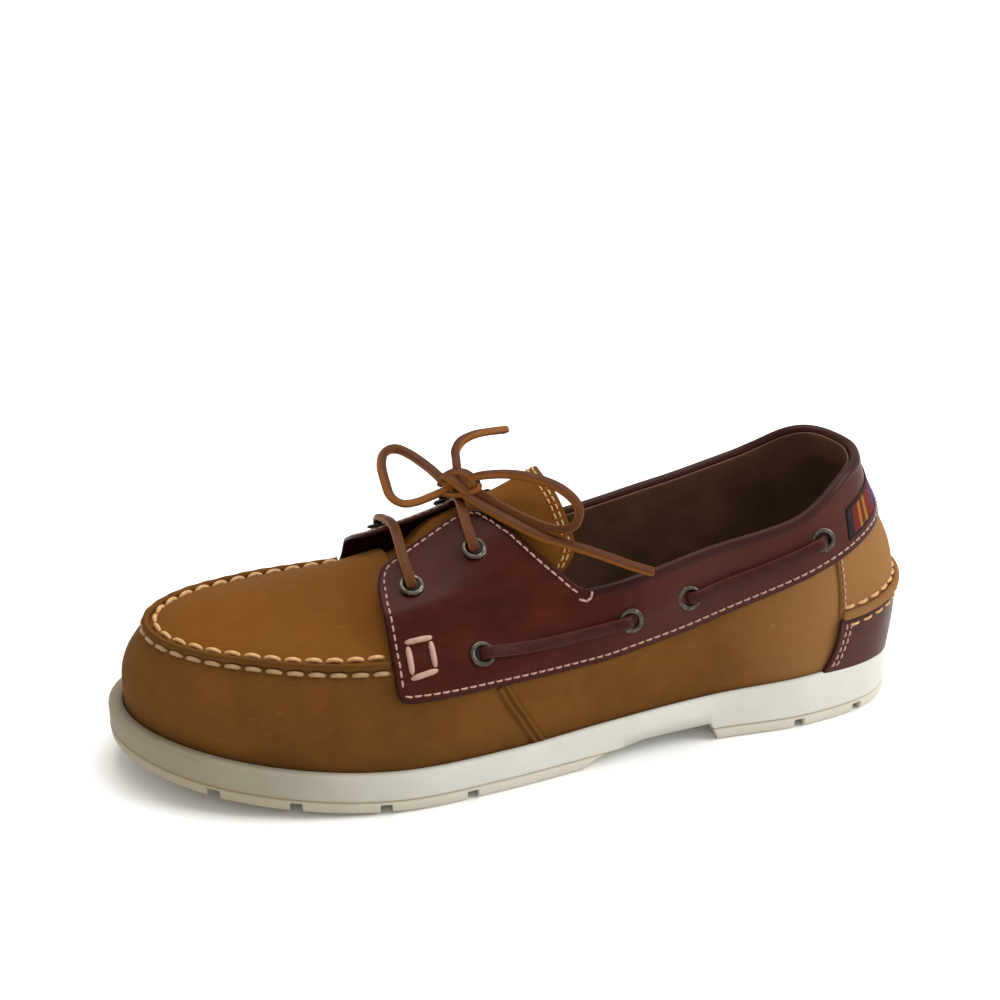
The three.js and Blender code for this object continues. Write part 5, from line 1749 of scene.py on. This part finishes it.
class SHOE_OT_heel(bpy.types.Operator):
    """Sets the dark heel counter, the ridge above it and the seams up the heel and the quarter"""
    bl_idname = "shoe.heel"
    bl_label = "Heel and quarter"

    def execute(self, context):
        self.counter()
        self.ridge()
        self.quarter_strip()
        self.stitches()
        return {"FINISHED"}

    def counter(self):
        feet = Feet(FEATHER, np.array([-109.0, -110.5, SPINE_HEEL, SPINE_TOE]), 84, 5)
        form = Form(feet, over_leather())
        front, top = through(COUNTER_FRONT), through(COUNTER_TOP)
        ribs = np.arange(len(feet.points))[1:feet.inner.stop - 1]
        low = form.first(below(lambda px: LAST["lip"](px) - 4.0))
        by_top = form.first(below(lambda px: top(px) - 0.8))
        points, normals = form.between(low, by_top, 26, ribs)
        keep = points[:, 13, 0] <= -111.0
        points, normals = points[keep], normals[keep]
        for end in (0, -1):
            reach = np.exp(-np.arange(len(points)) / 3.0)[:, None]
            reach = reach if end == 0 else reach[::-1]
            shift = (front(points[end, :, 2]) - points[end, :, 0])[None] * reach
            points[..., 0] += shift
        piece = plate("counter_leather", points, normals, sizes().overlay, MATERIALS["saddle"])
        settle(piece, "brown_leather", "heel_counter")

    def heel_line(self, height, offset):
        """Points and normals round the heel at a height that may change with x."""
        feet = Feet(FEATHER, np.array([-116.5, 0, SPINE_TOE]), 130, 5)
        form = Form(feet, offset)
        ribs = feet.heel_fan
        s = form.first(below(height))
        points, normals = form.at(s[ribs][:, None], ribs)
        return points[:, 0], normals[:, 0]

    def ridge(self):
        """The heel panel's edge, rolled over the counter as a raised ridge."""
        top = through(COUNTER_TOP)
        line, out = self.heel_line(lambda px: top(px) + 1.3, 0.0)
        share = np.linspace(0, 1, len(line))
        swell = np.sin(math.pi * share)[:, None] ** 0.8
        line = line + out * (0.7 + 0.9 * swell)
        section = squared(20, 3.6, 3.0, 2.4)
        piece = strap("heel_ridge", line, section, MATERIALS["nubuck"], ups=out, up=(0, 1, 0))
        write_values(piece.data, edge=np.full(len(piece.data.vertices), 1.0))
        settle(piece, "tan_nubuck")

    def quarter_strip(self):
        """The narrow strip over the quarter's seam, from the saddle down to the sole, on both sides."""
        path = [(18.5, 42.5), (15.0, 35.4), (11.1, 28.8), (6.7, 21.0), (3.2, 14.5)]
        parts = []
        for side in SIDES.values():
            line = catmull(path, 8)
            points, out = on_leather(line[:, 0], line[:, 1], side, 0.25)
            ahead = unit(np.gradient(points, axis=0))
            across = np.cross(out, ahead)
            columns = np.linspace(-2.6, 2.6, 15)
            crest = np.exp(-((np.abs(columns) - 1.2) / 0.6) ** 2)
            height = 0.9 * crest + 0.1
            grid = points[:, None] + across[:, None] * columns[None, :, None]
            grid = grid + out[:, None] * height[None, :, None]
            faces = grid_faces(*grid.shape[:2])
            # Painted shade: these values darken the strip in its grooves, between and beside its two ridges,
            # and leave the crests light.
            edge = np.tile(1.3 * crest, len(grid))
            part = mesh_piece("strip", grid, faces if side > 0 else flipped(faces), MATERIALS["nubuck"],
                              edge=edge)
            parts.append(thickened(part, 0.9))
        piece = joined("quarter_strips", parts)
        settle(piece, "tan_nubuck")

    def stitches(self):
        """Thick thread over and under the heel ridge and small thread up the heel's and quarter's seams."""
        top = through(COUNTER_TOP)
        fine_row = Row()
        on_overlay = over_leather() + 0.1
        rows = (("heel_stitches_high", 4.2, 0.0, 0.5, 5.2, 1.5),
                ("heel_stitches_low", -2.6, on_overlay, 0.8, 4.8, 1.0))
        for name, rise, offset, start, length, thick in rows:
            line, out = self.heel_line(lambda px: top(px) + rise, offset)
            row = Row()
            row.add(line, out, 6.6, 0.0, start)
            settle(row.make(name, MATERIALS["thread"], length, thick, thick * 0.8), "thread")
        seam_x = through([(16, -106.8), (20.3, -109.3), (26.6, -112.5), (34.8, -114.7), (43, -115.7),
                          (51.3, -115.5), (59.5, -114.6), (67.5, -113.4)])
        for side in SIDES.values():
            for low, high, offset, shift in ((46.5, 67.0, 0.1, -1.6), (23.0, 41.0, 1.8, -2.2),
                                             (23.0, 41.0, 1.8, -4.0)):
                z = np.linspace(low, high, 40)
                line, out = on_leather(seam_x(z) + shift, z, side, offset)
                fine_row.add(line, out, 3.0, 0.1)
        fine = fine_row.make("seam_threads", MATERIALS["fine_thread"], 2.3, 0.8, 0.8)
        settle(fine, "thread")
        self.heel_seam(seam_x)

    def heel_seam(self, seam_x):
        """The joint of the heel panel and the side, as a low rolled edge, darkened all over as painted shade
        of the gap between them.
        """
        parts = []
        for side in SIDES.values():
            z = np.linspace(43.0, 68.0, 46)
            line, out = on_leather(seam_x(z), z, side, 0.3)
            parts.append(strap("joint", line, squared(14, 1.6, 1.3, 2.2), MATERIALS["nubuck"], ups=out,
                               up=(0, side, 0)))
        piece = joined("heel_joints", parts)
        # Painted shade: a low edge value darkens the whole joint.
        write_values(piece.data, edge=np.full(len(piece.data.vertices), 0.3))
        settle(piece, "tan_nubuck")


class SHOE_OT_tongue(bpy.types.Operator):
    """Cuts the tongue, shapes it over the instep and sews its edge"""
    bl_idname = "shoe.tongue"
    bl_label = "Tongue"

    def execute(self, context):
        across, along_rows = 34, 80
        rear = through(TONGUE_REAR)
        halves, outs = [], []
        for side in (1, -1):
            share = np.linspace(0, 1, across)
            x_rear = np.full(across, 0.0)
            for _ in range(12):
                point, _ = self.surface(x_rear, share, side)
                x_rear = 0.5 * x_rear + 0.5 * rear(point[:, 2])
            run = np.linspace(0, 1, along_rows)[:, None]
            x = x_rear[None] + (60.0 - x_rear[None]) * run
            point, out = self.surface(x.ravel(), np.tile(share, along_rows), side)
            halves.append(point.reshape(along_rows, across, 3))
            outs.append(out.reshape(along_rows, across, 3))
        grid = np.concatenate([halves[0], halves[1][:, -2::-1]], axis=1)
        out = np.concatenate([outs[0], outs[1][:, -2::-1]], axis=1)
        grid, out = grid[::-1], out[::-1]
        piece = plate("tongue_leather", grid, out, sizes().tongue, MATERIALS["plug"])
        settle(piece, "tan_nubuck", "tongue")
        self.sew(grid[::-1], out[::-1])
        return {"FINISHED"}

    def surface(self, x, share, side):
        """Points on the tongue's top at stations x and shares of the way up one side to the ridge."""
        form = Form(feather_at(x, side), -sizes().leather - sizes().gap, tongue_lift)
        low = form.first(lambda px, py, pz: pz - 59.2)
        low = np.minimum(low, form.count - 8)
        s = low + (form.count - 1 - low) * share
        point, out = form.at(s[:, None])
        return point[:, 0], out[:, 0]

    def sew(self, grid, out):
        """A double row of fine stitches round the free edge."""
        row = Row()
        for distance in (1.5, 3.3):
            edge, inside, normal = grid[0], grid[4], out[0]
            line = edge + unit(inside - edge) * distance
            row.add(line[5:-5], normal[5:-5], 3.2, 0.05)
        piece = row.make("tongue_stitches", MATERIALS["thread"], 2.3, 0.75, 0.7)
        settle(piece, "thread")


class SHOE_OT_eyelets(bpy.types.Operator):
    """Rolls the twelve nickel eyelets and paints the shade inside them with near-black discs"""
    bl_idname = "shoe.eyelets"
    bl_label = "Eyelets"

    def execute(self, context):
        places, aheads, outs, names = [], [], [], []
        for label, side in SIDES.items():
            for name, (x, z) in EYELETS.items():
                point, normal = on_leather(x, z, side, over_leather(), flap_lift)
                places.append(point[0] + normal[0] * 0.1)
                outs.append(normal[0])
                aheads.append((1.0, 0.0, 0.0))
                names.append(f"eyelet_{label}_{name}")
        piece = grown("eyelets", eyelet_tree(), places, aheads, outs, MATERIALS["eyelet"],
                      {"Outer": sizes().eyelet, "Bore": sizes().eyelet_bore})
        settle(piece, "eyelet_metal", *names)
        self.shade_discs(places, outs)
        return {"FINISHED"}

    def shade_discs(self, places, outs):
        """Painted shade inside each eyelet: a thin near-black disc inside the barrel."""
        points, faces = [], []
        angle = np.arange(24) / 24 * 2 * math.pi
        radius = sizes().eyelet_bore + 0.3
        for place, out in zip(places, outs):
            side = np.cross(out, (1.0, 0.0, 0.0))
            side /= np.linalg.norm(side)
            other = np.cross(out, side)
            circle = np.cos(angle)[:, None] * side + np.sin(angle)[:, None] * other
            first = len(points) * 24
            for lift in (0.12, -0.3):
                points.append(place + circle * radius + out * lift)
            faces.append(tuple(range(first, first + 24)))
            faces.append(tuple(range(first + 24, first + 48))[::-1])
            faces += [(first + j, first + 24 + j, first + 24 + (j + 1) % 24, first + (j + 1) % 24)
                      for j in range(24)]
        piece = mesh_piece("eyelet_holes", np.vstack(points), faces, MATERIALS["hole"], smooth_faces=False)
        closed(piece)
        settle(piece, "eyelet_metal")


# ---- the add-on ----

OPERATORS = (
    SHOE_OT_stage, SHOE_OT_bow, SHOE_OT_laces, SHOE_OT_sole, SHOE_OT_upper, SHOE_OT_lining, SHOE_OT_saddle,
    SHOE_OT_collar, SHOE_OT_heel, SHOE_OT_tongue, SHOE_OT_eyelets,
)
GROUPS = {"shoe_sizes": ShoeSizes, "shoe_colours": ShoeColours, "shoe_detail": ShoeDetail}


class SHOE_PT_sidebar(bpy.types.Panel):
    """Lists the shoe's sizes, colours and pieces"""
    bl_idname = "SHOE_PT_sidebar"
    bl_label = "Boat shoe"
    bl_space_type = "VIEW_3D"
    bl_region_type = "UI"
    bl_category = "Boat shoe"

    def draw(self, context):
        for group in GROUPS:
            values = getattr(context.scene, group)
            box = self.layout.box()
            for key in type(values).__annotations__:
                box.prop(values, key)
        for operator in OPERATORS:
            self.layout.operator(operator.bl_idname)


def register():
    for group, kind in GROUPS.items():
        bpy.utils.register_class(kind)
        setattr(bpy.types.Scene, group, PointerProperty(type=kind))
    for kind in (*OPERATORS, SHOE_PT_sidebar):
        bpy.utils.register_class(kind)


def unregister():
    for kind in reversed((*OPERATORS, SHOE_PT_sidebar)):
        bpy.utils.unregister_class(kind)
    for group, kind in GROUPS.items():
        delattr(bpy.types.Scene, group)
        bpy.utils.unregister_class(kind)


def main():
    register()
    make_materials()
    for operator in OPERATORS:
        group, name = operator.bl_idname.split(".")
        getattr(getattr(bpy.ops, group), name)()


if __name__ == "__main__":
    main()
